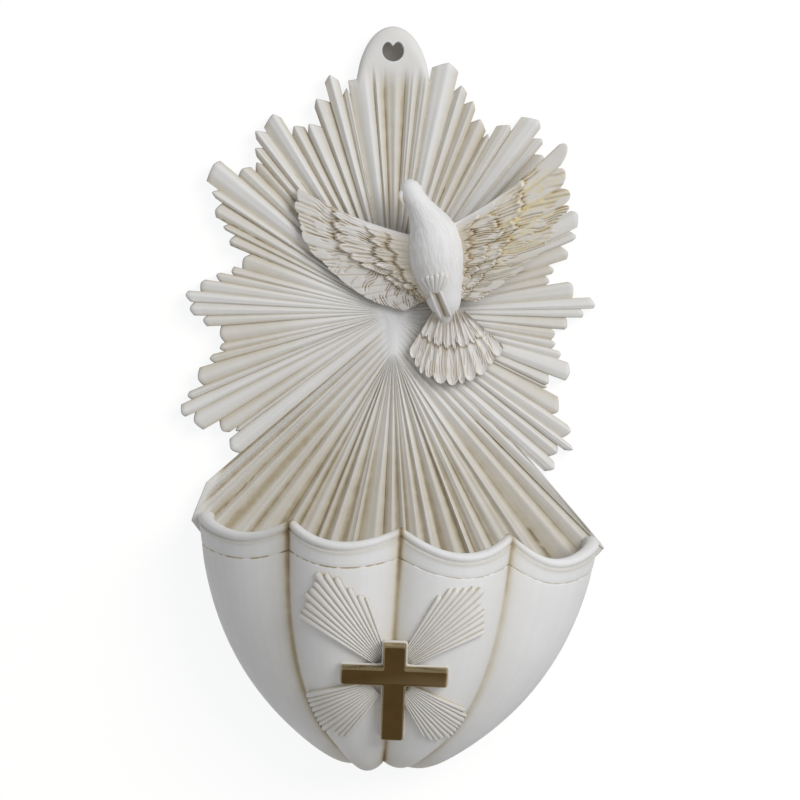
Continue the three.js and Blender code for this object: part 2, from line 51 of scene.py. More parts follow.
# share of the way from low to high, eased at both ends
def ease(x, low, high):
    t = np.clip((x - low) / (high - low), 0, 1)
    return t * t * (3 - 2 * t)


# a soft bump: 1 at the middle, fading over the width as a bell curve
def bell(x, width):
    return np.exp(-(x / width) ** 2)


# an uneven value from 0 to 1: a slow and a quick wave added, shifted by the phase
def wander(x, phase):
    return 0.5 + 0.25 * (np.sin(x + phase) + np.sin(2.3 * x + 1.7 * phase))


# uneven ground: random heights from -1 to 1 on a lattice, eased from one lattice point to the next
def ground(u, v, rng):
    lattice = rng.uniform(-1, 1, (int(u.max()) + 2, int(v.max()) + 2))
    i, j = np.floor(u).astype(int), np.floor(v).astype(int)
    p, q = ease(u - i, 0, 1), ease(v - j, 0, 1)
    return mix(mix(lattice[i, j], lattice[i + 1, j], p), mix(lattice[i, j + 1], lattice[i + 1, j + 1], p), q)


# carved strokes: u counts them across and v counts their pieces along; wavy lines, broken by uneven ground
def strokes(u, v, rng):
    bent = u + 1.0 * ground(0.15 * u, 0.8 * v, rng)
    return bell(np.sin(np.pi * bent), 0.65) * ease(ground(u, v, rng), -0.35, 0.35)


# points at x and z, a depth in front of the wall
def inFront(x, z, depth):
    return np.stack(np.broadcast_arrays(x, -depth, z), -1)


# Catmull-Rom curve: a cubic between each two points, with slopes along their neighbours
def throughPoints(points, t):
    points = np.asarray(points, float)
    place = np.clip(t, 0, 1) * (len(points) - 1)
    i = np.minimum(place.astype(int), len(points) - 2)
    f = (place - i)[..., None]
    padded = np.concatenate([2 * points[:1] - points[1:2], points, 2 * points[-1:] - points[-2:-1]])
    a, b, c, d = (padded[i + k] for k in range(4))
    return 0.5 * (2 * b + (c - a) * f + (2 * a - 5 * b + 4 * c - d) * f**2 + (3 * b - a - 3 * c + d) * f**3)


# quads between neighbouring rows and columns of a grid; a closed grid joins its last column to its first
def gridFaces(rows, columns, closed=False):
    row, column = np.meshgrid(np.arange(rows - 1), np.arange(columns if closed else columns - 1), indexing="ij")
    a = row * columns + column
    b = row * columns + (column + 1) % columns
    return np.stack([a, b, b + columns, a + columns], -1).reshape(-1, 4)


# a closed sheet from a front grid of points and a coarse back, which has a row for every so many rows of the front
def thickSheet(front, back, washAndShade, gold):
    rows, columns = front.shape[:2]
    step = (rows - 1) // (len(back) - 1)
    behind = rows * columns
    backFaces = gridFaces(len(back), columns)[:, ::-1] + behind
    j = np.arange(columns - 1)
    last = (rows - 1) * columns
    lastBehind = behind + (len(back) - 1) * columns
    ends = np.concatenate([np.stack([j + 1, j, behind + j, behind + j + 1], -1),
                           np.stack([last + j, last + j + 1, lastBehind + j + 1, lastBehind + j], -1)])
    block = np.arange(len(back) - 1)[:, None]
    along = (block * step + np.arange(step + 1)) * columns
    left = np.concatenate([along, behind + (block + 1) * columns, behind + block * columns], 1)
    points = np.concatenate([front.reshape(-1, 3), back.reshape(-1, 3)])
    edgeWash, noGold = np.full(back.size // 3, 0.5), np.zeros(back.size // 3)
    faces = [gridFaces(rows, columns), backFaces, ends, left, left[:, ::-1] + columns - 1]
    return points, faces, np.append(washAndShade, edgeWash), np.append(gold, noGold)


# a closed tube: rings of points carried along a path, with a face on each end
def closedTube(rings, washAndShade):
    rows, columns = rings.shape[:2]
    ends = np.stack([np.arange(columns)[::-1], np.arange(columns) + (rows - 1) * columns])
    return rings.reshape(-1, 3), [gridFaces(rows, columns, closed=True), ends], washAndShade.ravel(), np.zeros(washAndShade.size)


# one object from surfaces of points, faces and the marks for wash with painted shade and for gold, merged, turned
# outwards and shaded
def makePiece(name, surfaces, crease=None):
    points = np.concatenate([surface[0] for surface in surfaces]) * mm
    starts = np.cumsum([0] + [len(surface[0]) for surface in surfaces])
    faces = [group + start for surface, start in zip(surfaces, starts) for group in surface[1]]
    corners = np.concatenate([group.ravel() for group in faces])
    sizes = np.concatenate([np.full(len(group), group.shape[1]) for group in faces])
    mesh = bpy.data.meshes.new(name)
    mesh.vertices.add(len(points))
    mesh.vertices.foreach_set("co", points.ravel())
    mesh.loops.add(len(corners))
    mesh.loops.foreach_set("vertex_index", corners)
    mesh.polygons.add(len(sizes))
    mesh.polygons.foreach_set("loop_start", np.cumsum(sizes) - sizes)
    for column, mark in ((2, "washAndShade"), (3, "gold")):
        layer = mesh.attributes.new(mark, "FLOAT", "POINT")
        layer.data.foreach_set("value", np.concatenate([np.clip(surface[column], 0, 1) for surface in surfaces]))
    mesh.update(calc_edges=True)
    work = bmesh.new()
    work.from_mesh(mesh)
    bmesh.ops.remove_doubles(work, verts=work.verts, dist=0.002 * mm)
    bmesh.ops.dissolve_degenerate(work, edges=work.edges, dist=0.001 * mm)
    bmesh.ops.recalc_face_normals(work, faces=work.faces)
    work.to_mesh(mesh)
    work.free()
    mesh.polygons.foreach_set("use_smooth", np.ones(len(mesh.polygons), bool))
    if crease:
        mesh.set_sharp_from_angle(angle=math.radians(crease))
    piece = bpy.data.objects.new(name, mesh)
    bpy.context.collection.objects.link(piece)
    return piece


# a finished piece takes the place of its CAD node
def setInPlace(piece, node, finish):
    piece.data.materials.clear()
    piece.data.materials.append(finish)
    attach(piece, "root")
    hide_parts(node)
    print(piece.name, "made:", len(piece.data.polygons), "faces")


# Finishes

castLook = dict(
    stone=(0.795, 0.797, 0.80), khaki=(0.525, 0.462, 0.34), brown=(0.20, 0.135, 0.065), gold=(0.34, 0.22, 0.06), goldMetal=0.7,
    roughness=0.62, specular=0.3, blotch=55, grain=1500, grainDepth=0.00005,
)
plumeLook = dict(
    stone=(0.80, 0.80, 0.805), khaki=(0.55, 0.465, 0.33), brown=(0.22, 0.155, 0.09), gold=(0.74, 0.63, 0.33), goldMetal=0.15,
    roughness=0.58, specular=0.32, blotch=70, grain=1700, grainDepth=0.00005,
)
giltLook = dict(
    bright=(0.088, 0.054, 0.019), dull=(0.050, 0.031, 0.012), worn=(0.66, 0.55, 0.34),
    roughness=0.26, scratch=900, cloud=160,
)


# painted cast stone: the stone's colour in slow blotches, khaki then brown by the wash mark, which holds the real wash
# and also painted shade, gold by the mark gold
def stoneFinish(name, look):
    finish = bpy.data.materials.new(name)
    finish.use_nodes = True
    nodes, links = finish.node_tree.nodes, finish.node_tree.links
    shader = nodes["Principled BSDF"]
    shader.inputs["Specular IOR Level"].default_value = look["specular"]
    place = nodes.new("ShaderNodeTexCoord").outputs["Object"]

    def noise(scale, detail):
        node = nodes.new("ShaderNodeTexNoise")
        node.inputs["Scale"].default_value = scale
        node.inputs["Detail"].default_value = detail
        links.new(place, node.inputs["Vector"])
        return node.outputs["Fac"]

    def mark(markName):
        node = nodes.new("ShaderNodeAttribute")
        node.attribute_name = markName
        return node.outputs["Fac"]

    def worked(operation, a, b):
        node = nodes.new("ShaderNodeMath")
        node.operation = operation
        node.use_clamp = True
        for socket, value in zip(node.inputs, (a, b)):
            if isinstance(value, (int, float)):
                socket.default_value = value
            else:
                links.new(value, socket)
        return node.outputs[0]

    def spread(value, low, high, toLow, toHigh):
        node = nodes.new("ShaderNodeMapRange")
        for socket, setting in zip(("From Min", "From Max", "To Min", "To Max"), (low, high, toLow, toHigh)):
            node.inputs[socket].default_value = setting
        links.new(value, node.inputs["Value"])
        return node.outputs["Result"]

    def blended(amount, a, b):
        node = nodes.new("ShaderNodeMix")
        node.data_type = "RGBA"
        links.new(amount, node.inputs["Factor"])
        for socket, value in zip((node.inputs[6], node.inputs[7]), (a, b)):
            if isinstance(value, tuple):
                socket.default_value = (*value, 1)
            else:
                links.new(value, socket)
        return node.outputs[2]

    shade = tuple(0.96 * c for c in look["stone"])
    stone = blended(spread(noise(look["blotch"], 3), 0.35, 0.65, 0, 1), look["stone"], shade)
    patchy = spread(noise(5 * look["blotch"], 4), 0.3, 0.7, 0.88, 1.1)
    # the wash mark's level: real wash in hollows together with painted shade
    washAndShadeLevel = worked("MULTIPLY", mark("washAndShade"), patchy)
    thin = blended(spread(washAndShadeLevel, 0, 0.6, 0, 1), stone, look["khaki"])
    stainedAndShaded = blended(spread(washAndShadeLevel, 0.5, 1, 0, 1), thin, look["brown"])
    gilded = worked("MULTIPLY", mark("gold"), spread(noise(14 * look["blotch"], 3), 0.35, 0.55, 0, 1))
    links.new(blended(gilded, stainedAndShaded, look["gold"]), shader.inputs["Base Color"])
    links.new(worked("MULTIPLY", gilded, look["goldMetal"]), shader.inputs["Metallic"])
    links.new(spread(noise(4 * look["blotch"], 2), 0.3, 0.7, look["roughness"] - 0.08, look["roughness"] + 0.08),
              shader.inputs["Roughness"])
    bump = nodes.new("ShaderNodeBump")
    bump.inputs["Strength"].default_value = 0.6
    bump.inputs["Distance"].default_value = look["grainDepth"]
    links.new(noise(look["grain"], 4), bump.inputs["Height"])
    links.new(bump.outputs["Normal"], shader.inputs["Normal"])
    return finish


# polished gilding: bright and dull gold in clouds, fine scratches in its gloss, worn to pale metal by the wash mark,
# which on the cross holds only wear
def giltFinish(name, look):
    finish = bpy.data.materials.new(name)
    finish.use_nodes = True
    nodes, links = finish.node_tree.nodes, finish.node_tree.links
    shader = nodes["Principled BSDF"]
    shader.inputs["Metallic"].default_value = 1
    place = nodes.new("ShaderNodeTexCoord").outputs["Object"]
    cloud = nodes.new("ShaderNodeTexNoise")
    cloud.inputs["Scale"].default_value = look["cloud"]
    links.new(place, cloud.inputs["Vector"])
    gold = nodes.new("ShaderNodeMix")
    gold.data_type = "RGBA"
    gold.inputs[6].default_value = (*look["bright"], 1)
    gold.inputs[7].default_value = (*look["dull"], 1)
    links.new(cloud.outputs["Fac"], gold.inputs["Factor"])
    wear = nodes.new("ShaderNodeAttribute")
    wear.attribute_name = "washAndShade"
    worn = nodes.new("ShaderNodeMix")
    worn.data_type = "RGBA"
    worn.inputs[7].default_value = (*look["worn"], 1)
    links.new(wear.outputs["Fac"], worn.inputs["Factor"])
    links.new(gold.outputs[2], worn.inputs[6])
    links.new(worn.outputs[2], shader.inputs["Base Color"])
    scratches = nodes.new("ShaderNodeTexNoise")
    scratches.inputs["Scale"].default_value = look["scratch"]
    links.new(place, scratches.inputs["Vector"])
    gloss = nodes.new("ShaderNodeMapRange")
    gloss.inputs["To Min"].default_value = look["roughness"] - 0.12
    gloss.inputs["To Max"].default_value = look["roughness"] + 0.12
    links.new(scratches.outputs["Fac"], gloss.inputs["Value"])
    links.new(gloss.outputs["Result"], shader.inputs["Roughness"])
    return finish


castStone = stoneFinish("castStone", castLook)
doveStone = stoneFinish("doveStone", plumeLook)
gilt = giltFinish("gilt", giltLook)
print("finishes made")


# Bowl, in a frame of its own: x to the right, z up from the rim, depth from the plate's seat

bowlLook = dict(
    halfWidth=54.5, projection=42.0, height=66.5, wall=3.0, shift=1.6, rimDrop=55.5, tilt=3.8, seat=4.3,
    sideFullness=1.76, frontFullness=2.4, footScallops=(3.8, 6.4, 4.0, 4.2), scallopFrom=12, scallopTo=80,
    grooves=(0, 56, 90, 124, 180), swells=(0.05, 0.12, 0.12, 0.05), rimScallops=(4.5, 5.0, 6.0, 6.3),
    lipHeight=2.7, lipSwell=0.85, bandHeight=8.5, bandSwell=0.45, lineDepth=0.2, lineWidth=0.21, lineFollow=0.75,
    lobeColumns=44, curveRows=64, insideRows=34, seed=3,
)
grooveTurns = np.radians(bowlLook["grooves"])
lobeSwells, rimScallops = np.array(bowlLook["swells"]), np.array(bowlLook["rimScallops"])
footScallops = np.array(bowlLook["footScallops"])
lobeCount = len(lobeSwells)


def lobeOf(u):
    return np.clip(np.floor(u), 0, lobeCount - 1).astype(int)


def turnAt(u):
    lobe = lobeOf(u)
    return mix(grooveTurns[lobe], grooveTurns[lobe + 1], u - lobe)


# the rim dips between two grooves as a half wave across the lobe seen from the front
def rimLevel(u):
    lobe = lobeOf(u)
    left, right = np.cos(grooveTurns[lobe]), np.cos(grooveTurns[lobe + 1])
    return -rimScallops[lobe] * np.sin(np.pi * (left - np.cos(turnAt(u))) / (left - right))


# surface u lobes from the left at height z, moved out by grow: a half oval plan swelled in each lobe, drawn in
# towards the foot as a superellipse that is fuller at the front
def bowlSurface(u, z, grow):
    look = bowlLook
    turn = turnAt(u)
    lobe = np.abs(np.sin(np.pi * u))
    fullness = mix(look["sideFullness"], look["frontFullness"], np.sin(turn))
    drop = np.clip(-z / (look["height"] + grow), 0, 1)
    swell = (1 - drop**fullness) ** (1 / fullness) * (1 + lobeSwells[lobeOf(u)] * lobe)
    sag = footScallops[lobeOf(u)] * lobe**0.7 * (drop ** look["scallopFrom"] - drop ** look["scallopTo"])
    x = -np.cos(turn) * (look["halfWidth"] + grow) * swell
    return x, np.sin(turn) * (look["projection"] + grow) * swell, z - sag


# depth of the bowl's outside where it is seen at x and z: halving the range of u until it meets x
def bowlDepth(x, z):
    low, high = np.zeros(np.shape(x)), np.full(np.shape(x), float(lobeCount))
    for _ in range(36):
        middle = (low + high) / 2
        inside = bowlSurface(middle, z, 0)[0] < x
        low, high = np.where(inside, middle, low), np.where(inside, high, middle)
    return bowlSurface(low, z, 0)[1]


# bowl frame to row frame: turned clockwise by the tilt and moved to the plate's foot
def onPlate(x, depth, z):
    turn = math.radians(bowlLook["tilt"])
    right = x * math.cos(turn) + z * math.sin(turn) + bowlLook["shift"]
    up = z * math.cos(turn) - x * math.sin(turn) - bowlLook["rimDrop"]
    return inFront(right, up, depth + bowlLook["seat"])


# section of the wall from the foot inside, up, over the rolled lip, past the band and its line, to the foot outside
def makeBowl():
    look = bowlLook
    rng = np.random.default_rng(look["seed"])
    share = (np.arange(look["lobeColumns"]) / look["lobeColumns"])
    share = mix(share, 0.5 - 0.5 * np.cos(np.pi * share), 0.5)
    u = np.append((np.arange(lobeCount)[:, None] + share).ravel(), lobeCount)[None, :]
    rim = rimLevel(u)

    rollHigh, rollWide = look["lipHeight"] * 0.55, (look["wall"] + look["lipSwell"]) / 2
    roll = np.radians(np.linspace(180, -50, 20))[:, None]
    rollBelow = rollHigh * (1 - np.sin(roll)) + 0 * u
    rollGrow = look["lipSwell"] - rollWide + rollWide * np.cos(roll) + 0 * u

    line = look["bandHeight"] + (1 - look["lineFollow"]) * rim
    bandShare = np.linspace(0, 1, 7)[:, None]
    bandBelow = mix(rollBelow[-1:] + 0.25, line - 3 * look["lineWidth"], bandShare)
    bandGrow = mix(look["bandSwell"], 0.15, bandShare) + 0.25 * bell(bandShare, 0.2) + 0 * u
    offset = np.linspace(-2.4, 2.4, 11)[:, None] * look["lineWidth"]
    lineGrow = 0.1 - look["lineDepth"] * bell(offset, look["lineWidth"]) + 0 * u
    curve = np.sin(np.linspace(0, np.pi / 2, look["curveRows"] + 1)[1:, None])
    curveFrom = line + 3 * look["lineWidth"]
    curveBelow = mix(curveFrom, rim + look["height"], curve)
    curveGrow = 0.1 * (1 - ease(curve, 0, 0.2)) + 0 * u
    inside = np.sin(np.linspace(np.pi / 2, 0, look["insideRows"] + 1)[:-1, None])
    insideBelow = mix(rollBelow[:1], rim + look["height"] - look["wall"], inside)

    below = np.concatenate([insideBelow, rollBelow, bandBelow, line + offset, curveBelow])
    grow = np.concatenate([-look["wall"] + 0 * insideBelow, rollGrow, bandGrow, lineGrow, curveGrow])
    rows, columns = below.shape
    points = onPlate(*bowlSurface(u + 0 * below, rim - below, grow))

    fromGroove = np.minimum(u % 1, 1 - u % 1) * 26 * (1 - 0.6 * np.clip(below / look["height"], 0, 1))
    edgeLobe = (u < 0.5) | (u > lobeCount - 0.5)
    underRim = mix(0.7, 1, 1 - ease(below, 3, 26))
    underRim = underRim * mix(1, 0.7, ease(u, 2.3, 2.9))
    grooveWash = np.where(edgeLobe, 0, underRim * (0.7 * bell(fromGroove, 0.6) + 0.24 * bell(fromGroove, 2.5)))
    isInside = np.arange(rows)[:, None] < look["insideRows"]
    isLine = (np.arange(rows)[:, None] >= rows - look["curveRows"] - 11) & (np.arange(rows)[:, None] < rows - look["curveRows"])
    broken = ease(wander(31 * u, 1.3) + 0.35 * wander(97 * u, 0.4), 0.35, 0.75) * mix(1, 0.45, ease(u, 1.7, 2.3))
    dash = np.where(isLine, bell(below - line, 0.9 * look["lineWidth"]) * broken, 0)
    # painted shade: the inside of the bowl is a little darker all over, and a band just under the rolled lip is darker
    # where the lip's overhang shades it
    lipShade = np.where(isInside, 0.12, 0.3 * bell(below - rollBelow[-1:] - 0.5, 0.5))
    # painted shade: darker towards the foot, where the bowl's underside turns down away from the light
    foot = 0.25 * ease(below / (rim + look["height"]), 0.9, 1)
    washAndShade = grooveWash + lipShade + foot + 0.7 * dash + 0.04 * rng.random((1, columns))
    gold = 0.6 * dash
    ends = np.arange(rows)[None, :] * columns + np.array([[0], [columns - 1]])
    return points.reshape(-1, 3), [gridFaces(rows, columns), ends], washAndShade.ravel(), gold.ravel()


setInPlace(makePiece("lobed_bowl", [makeBowl()]), "bowl", castStone)


# Sunburst plate with its hanging tab

plateLook = dict(
    seed=11, upperRays=70, footRays=23, columns=15, bodyRows=52, edgeRows=5,
    upperRelief=1.55, sideRelief=0.8, footRelief=1.65, rightRelief=0.9, reliefSpread=0.4, reliefWidth=0.9,
    rootLength=3.5, lowRoot=1.5, crestDepth=5.3, hubDepth=5.0, edgeShift=0.36, crestShift=0.25, crestRound=0.09,
    lesserCrest=0.45, lesserWidth=0.1,
    lineDepth=0.14, lineWidth=0.045, edgeRound=0.4, topNotch=2.6, sideNotch=1.3, tipSlant=0.8, tipSpread=1.0, tabCut=2.5,
    sink=0.08,
    hubSide=2.6, hubLow=1.4, hubTop=3.6, hubFoot=7.0, lowFrom=0.5, lowTo=0.9, aim=60.0,
    shortest=46.0, footFrom=220, footTo=316, margin=2.2, marginFade=4.5,
    bundles=((6, 57, 1.4), (30, 61, 1.2), (55, 70.5, 1.2), (79, 75.2, 1.1), (98, 72, 1.5), (104, 73, 2),
             (114, 62.5, 1.2), (122, 69, 1.2), (140, 67.5, 1.3), (173, 59.3, 1.1), (203, 64.5, 1.1), (218, 57.5, 1.2),
             (317, 60.5, 1.7), (325, 61.5, 1.3), (345, 51.5, 1)),
    tabFrom=80, tabTo=100, tabThickness=5.0, tabHalfWidth=10.2, tabSpring=66.0, tabRise=17.5, tabFade=1.5, tabFull=7.0, tabDome=1.2, tabRound=4.5,
    holeRadius=3.0, holeHeight=76.7, holeBump=0.55, cornerReach=3.6, cornerDrop=3.0, cornerDepth=6.0,
    leftSlope=0.33, rightSlope=0.97, footInset=1.0, scratchedRays=12, sharpFrom=55,
)


# length of a line from a start before it leaves an ellipse
def reachInEllipse(startZ, acrossWay, upWay, centreZ, halfWidth, halfHeight):
    from_ = (startZ - centreZ) / halfHeight
    along = (acrossWay / halfWidth) ** 2 + (upWay / halfHeight) ** 2
    inward = from_ * upWay / halfHeight
    return (np.sqrt(np.maximum(inward**2 - along * (from_**2 - 1), 0)) - inward) / along


# the same for the bowl's outline moved out by grow, with corners past the rim's ends: halving the range of lengths
def reachInBowl(startZ, acrossWay, upWay, grow, corner):
    turn = math.radians(bowlLook["tilt"])
    low = np.zeros(startZ.shape)
    high = np.full(startZ.shape, 2 * (bowlLook["rimDrop"] + bowlLook["height"]))
    for _ in range(40):
        reach = (low + high) / 2
        x = acrossWay * reach - bowlLook["shift"]
        z = startZ + upWay * reach + bowlLook["rimDrop"]
        right, up = x * math.cos(turn) - z * math.sin(turn), x * math.sin(turn) + z * math.cos(turn)
        overCorner = up + plateLook["cornerDrop"]
        past = corner * np.clip(1 + overCorner / plateLook["cornerDepth"], 0, 1)
        slope = np.where(right < 0, plateLook["leftSlope"], plateLook["rightSlope"])
        half = bowlLook["halfWidth"] + grow + past - slope * np.maximum(overCorner, 0)
        drop = np.clip(-up / (bowlLook["height"] + grow), 0, 1)
        taper = (1 - drop ** bowlLook["sideFullness"]) ** (1 / bowlLook["sideFullness"])
        inside = np.abs(right) < half * taper
        low, high = np.where(inside, reach, low), np.where(inside, high, reach)
    return low


# rays round the hub: across a ray its depth falls from a crest to the flutes beside it, as a power of the way;
# along it the flutes deepen with the ray's width, and the tip is cut aslant and rounded off; rays end in bundles,
# on the tab or behind the bowl
def makeSunburst():
    look = plateLook
    rng = np.random.default_rng(look["seed"])
    upper = np.linspace(look["footTo"] - 360, look["footFrom"], look["upperRays"] + 1)
    foot = np.linspace(look["footFrom"], look["footTo"], look["footRays"] + 1)
    edge = np.concatenate([upper, foot[1:]])
    rays, k = len(edge) - 1, look["columns"]
    kept = np.isin(edge, (look["footTo"] - 360, look["tabFrom"], look["tabTo"], look["footFrom"], look["footTo"]))
    edge = edge + np.where(kept, 0, rng.uniform(-1, 1, rays + 1) * look["edgeShift"] * np.gradient(edge))
    f = np.linspace(0.015, 0.985, k)
    angle = np.radians(mix(edge[:-1, None], edge[1:, None], f))
    middle = (edge[:-1, None] + edge[1:, None]) / 2
    pitch = np.radians(edge[1:, None] - edge[:-1, None])
    isFoot = (middle > look["footFrom"]) + 0 * f > 0
    isTab = (middle > look["tabFrom"]) & (middle < look["tabTo"]) & (f > -1)

    crestAt = rng.uniform(0.5 - look["crestShift"], 0.5 + look["crestShift"], (rays, 1))
    slope = np.where(f < crestAt, f / crestAt, (1 - f) / (1 - crestAt))
    sideways = np.cos(np.radians(middle)) ** 2 * (1 - isFoot[:, :1])
    crestRound = look["crestRound"] * (1 + 2 * sideways)
    blunt = 1 + crestRound - np.hypot(1 - slope, crestRound)
    crest = blunt ** mix(rng.uniform(1.4, 2.1, (rays, 1)), 1.2, sideways)
    lesserAt = crestAt + rng.uniform(0.26, 0.42, (rays, 1)) * np.where(crestAt < 0.5, 1, -1)
    lesser = look["lesserCrest"] * rng.uniform(0.2, 1, (rays, 1)) * bell(f - lesserAt, look["lesserWidth"])
    crest = crest + lesser * (1 - crest)
    lined = rng.random((rays, 1)) < 0.5
    lines = lined * sum(rng.uniform(0.2, 1, (rays, 1)) * bell(f - rng.uniform(0.1, 0.9, (rays, 1)), look["lineWidth"])
                        for _ in range(2))
    lowRight = ease(middle, 275, 305)
    relief = np.where(isFoot[:, :1], mix(look["footRelief"], look["rightRelief"], lowRight),
                      mix(look["upperRelief"], look["sideRelief"], sideways))
    relief = relief * (1 + 0.4 * bell(middle - 57, 25) + 0.35 * bell(middle - 200, 22))
    relief = relief * (1 - look["reliefSpread"] * rng.random((rays, 1)))

    across, up = np.cos(angle), np.sin(angle)
    lowness = ease(-up, look["lowFrom"], look["lowTo"])
    startZ = mix(look["hubTop"], -look["hubFoot"], lowness)
    hubEdge = mix(look["hubSide"], look["hubLow"], lowness)
    wayX, wayZ = look["aim"] * across, look["aim"] * up - startZ
    length = np.hypot(wayX, wayZ)
    wayX, wayZ = wayX / length, wayZ / length

    bundleAngle, bundleReach, bundleFall = np.array(look["bundles"]).T
    turned = np.abs((middle - bundleAngle + 180) % 360 - 180) - np.degrees(pitch) / 4
    bundled = bundleReach - bundleFall * np.maximum(turned, 0)
    tip = np.maximum(bundled.max(-1, keepdims=True), look["shortest"])
    below = np.clip(bundleReach[bundled.argmax(-1)][:, None] - tip, 0, 10)
    slant = look["tipSlant"] * rng.uniform(-1, 1, (rays, 1))
    notch = mix(look["topNotch"], look["sideNotch"], sideways) * rng.uniform(0.5, 1, (rays, 1))
    notch = notch * (1 - slope) ** mix(1.1, 1.7, sideways)
    cut = look["tipSpread"] * rng.random((rays, 1)) ** 2 - slant * (f - 0.5) + 0.4 * np.abs(slant) + notch
    radius = tip - np.where(isTab, look["tabCut"], cut)
    rim = reachInEllipse(startZ, wayX, wayZ, 0, radius, radius)
    onTab = reachInEllipse(startZ, wayX, wayZ, look["tabSpring"], look["tabHalfWidth"], look["tabRise"])
    onFoot = reachInBowl(startZ, wayX, wayZ, -look["footInset"], look["footInset"] + look["cornerReach"])
    rim = np.where(isTab, np.maximum(onTab, rim), np.where(isFoot, onFoot, rim))

    inner = rim - look["edgeRound"]
    body = np.linspace(0, 1, look["bodyRows"])[:, None, None]
    rounding = np.sin(np.linspace(0, np.pi / 2, look["edgeRows"] + 1)[1:, None, None])
    reach = np.concatenate([mix(hubEdge, inner, body), inner + look["edgeRound"] * rounding])
    x, z = wayX * reach, startZ + wayZ * reach

    wide = (1 - np.exp(-reach * pitch / look["reliefWidth"])) * ease(
        reach - hubEdge, 0, mix(look["rootLength"], look["lowRoot"], lowness))
    fadeTab = ease(z, look["tabSpring"] - look["tabFade"], look["tabSpring"] + look["tabFull"]) * isTab
    fadeFoot = ease(reach, rim - look["margin"] - look["marginFade"], rim - look["margin"]) * isFoot
    fade = (1 - fadeTab) * (1 - fadeFoot)
    uneven = 0.85 + 0.15 * wander(0.19 * reach, 40 * crestAt)
    top = mix(look["hubDepth"], look["crestDepth"], ease(reach, 0, 30)) - 0.25 * (1 - uneven)
    top = top - look["sink"] * below * ease(reach, 18, 45)
    tabFall = look["tabDome"] * np.clip(1 - (rim - reach) / look["tabRound"], 0, 1) ** 2
    top = mix(top, look["tabThickness"] - tabFall, fadeTab)
    depth = top - (relief * uneven * (1 - crest) + look["lineDepth"] * lines) * wide * fade
    edgeShare = np.clip((reach - inner) / look["edgeRound"], 0, 1)
    depth = depth * mix(0.5, 1, np.sqrt(np.maximum(1 - edgeShare**2, 0)))

    front = inFront(x, z, depth)
    hub = np.linspace(0, 1, 7)[:-1, None, None]
    hubMiddle = -0.5
    hubFront = inFront(hub * x[0], mix(hubMiddle, z[0], hub), mix(look["hubDepth"] + 0.25, depth[0], hub**2))
    side = inFront(x[-1:], z[-1:], np.array([0.3, 0.0])[:, None, None] * depth[-1:])
    hubBack = inFront(x[:1], z[:1], 0.0)
    back = np.broadcast_to(inFront(0.0, hubMiddle, 0.0), side[:1].shape)
    rings = np.concatenate([hubFront, front, side, hubBack, back])
    rows, columns = len(rings), rays * k

    stain = rng.uniform(0.6, 1, (rays, 1)) * mix(0.85, 1, wander(0.11 * reach, 25 * crestAt))
    # the khaki wash lies in the flutes as on the real plaque, and is laid on more strongly than the wash alone so that
    # it paints the flutes' shade too
    khaki = np.where(isFoot, mix(0.56, 0.38, lowRight), 0.46 - 0.08 * np.cos(angle)) * ((1 - crest) ** 1.7 + 0.3 * lines) * stain * ease(wide, 0.05, 0.4) * fade
    # painted shade: short rays that sink below their bundle's peak are darker, as in the shade between bundles
    washAndShade = khaki + mix(0.02 * below * ease(reach, 18, 40) + 0.055 * ease(reach, 2, 12), 0.1, fadeTab)
    scratched = np.isin(np.arange(rays), rng.choice(rays, look["scratchedRays"], replace=False))[:, None]
    scratchFrom = rim * rng.uniform(0.35, 0.75, (rays, 1))
    onScratch = ease(reach, scratchFrom, scratchFrom + 1) * (1 - ease(reach, scratchFrom + 14, scratchFrom + 15))
    scratch = scratched * bell(f - rng.choice([0.1, 0.9], (rays, 1)), 0.05) * onScratch
    broken = ease(wander(0.8 * reach, 9 * crestAt), 0.3, 0.5)
    washAndShade = np.maximum(washAndShade, 0.95 * scratch * broken * fade)
    ends = [np.zeros((len(hubFront), rays, k)), np.full((4, rays, k), 0.1)]
    washAndShade = np.concatenate([ends[0], washAndShade, ends[1]])
    return rings.reshape(-1, 3), [gridFaces(rows, columns, closed=True)], washAndShade.ravel(), np.zeros(washAndShade.size)


# a round bar through the tab with a small bump at the top between two ears
def nailHole():
    look = plateLook
    turn = np.linspace(0, 2 * np.pi, 72, endpoint=False)
    size = look["holeRadius"] * (1 - look["holeBump"] * bell(turn - np.pi / 2, 0.38))
    depth = np.linspace(-2, look["crestDepth"] + 2, 12)[:, None]
    flare = 1 + 0.1 * ease(depth, look["tabThickness"] - 0.8, look["tabThickness"] + 0.6)
    rings = inFront(flare * size * np.cos(turn), look["holeHeight"] + flare * size * np.sin(turn), depth)
    return closedTube(rings, np.full(rings.shape[:2], 1.0))


# cuts one piece out of another and keeps the result as its mesh
def cutBy(piece, cutter):
    cut = piece.modifiers.new("cut", "BOOLEAN")
    cut.operation = "DIFFERENCE"
    cut.solver = "EXACT"
    cut.object = cutter
    whole = piece.data
    piece.data = bpy.data.meshes.new_from_object(piece.evaluated_get(bpy.context.evaluated_depsgraph_get()))
    piece.modifiers.clear()
    bpy.data.meshes.remove(whole)
    bpy.data.objects.remove(cutter)


sunburst = makePiece("sunburst", [makeSunburst()])
cutBy(sunburst, makePiece("nail_hole", [nailHole()]))
sunburst.data.set_sharp_from_angle(angle=math.radians(plateLook["sharpFrom"]))
setInPlace(sunburst, "sunburst_plate", castStone)


# Ray fans round the cross

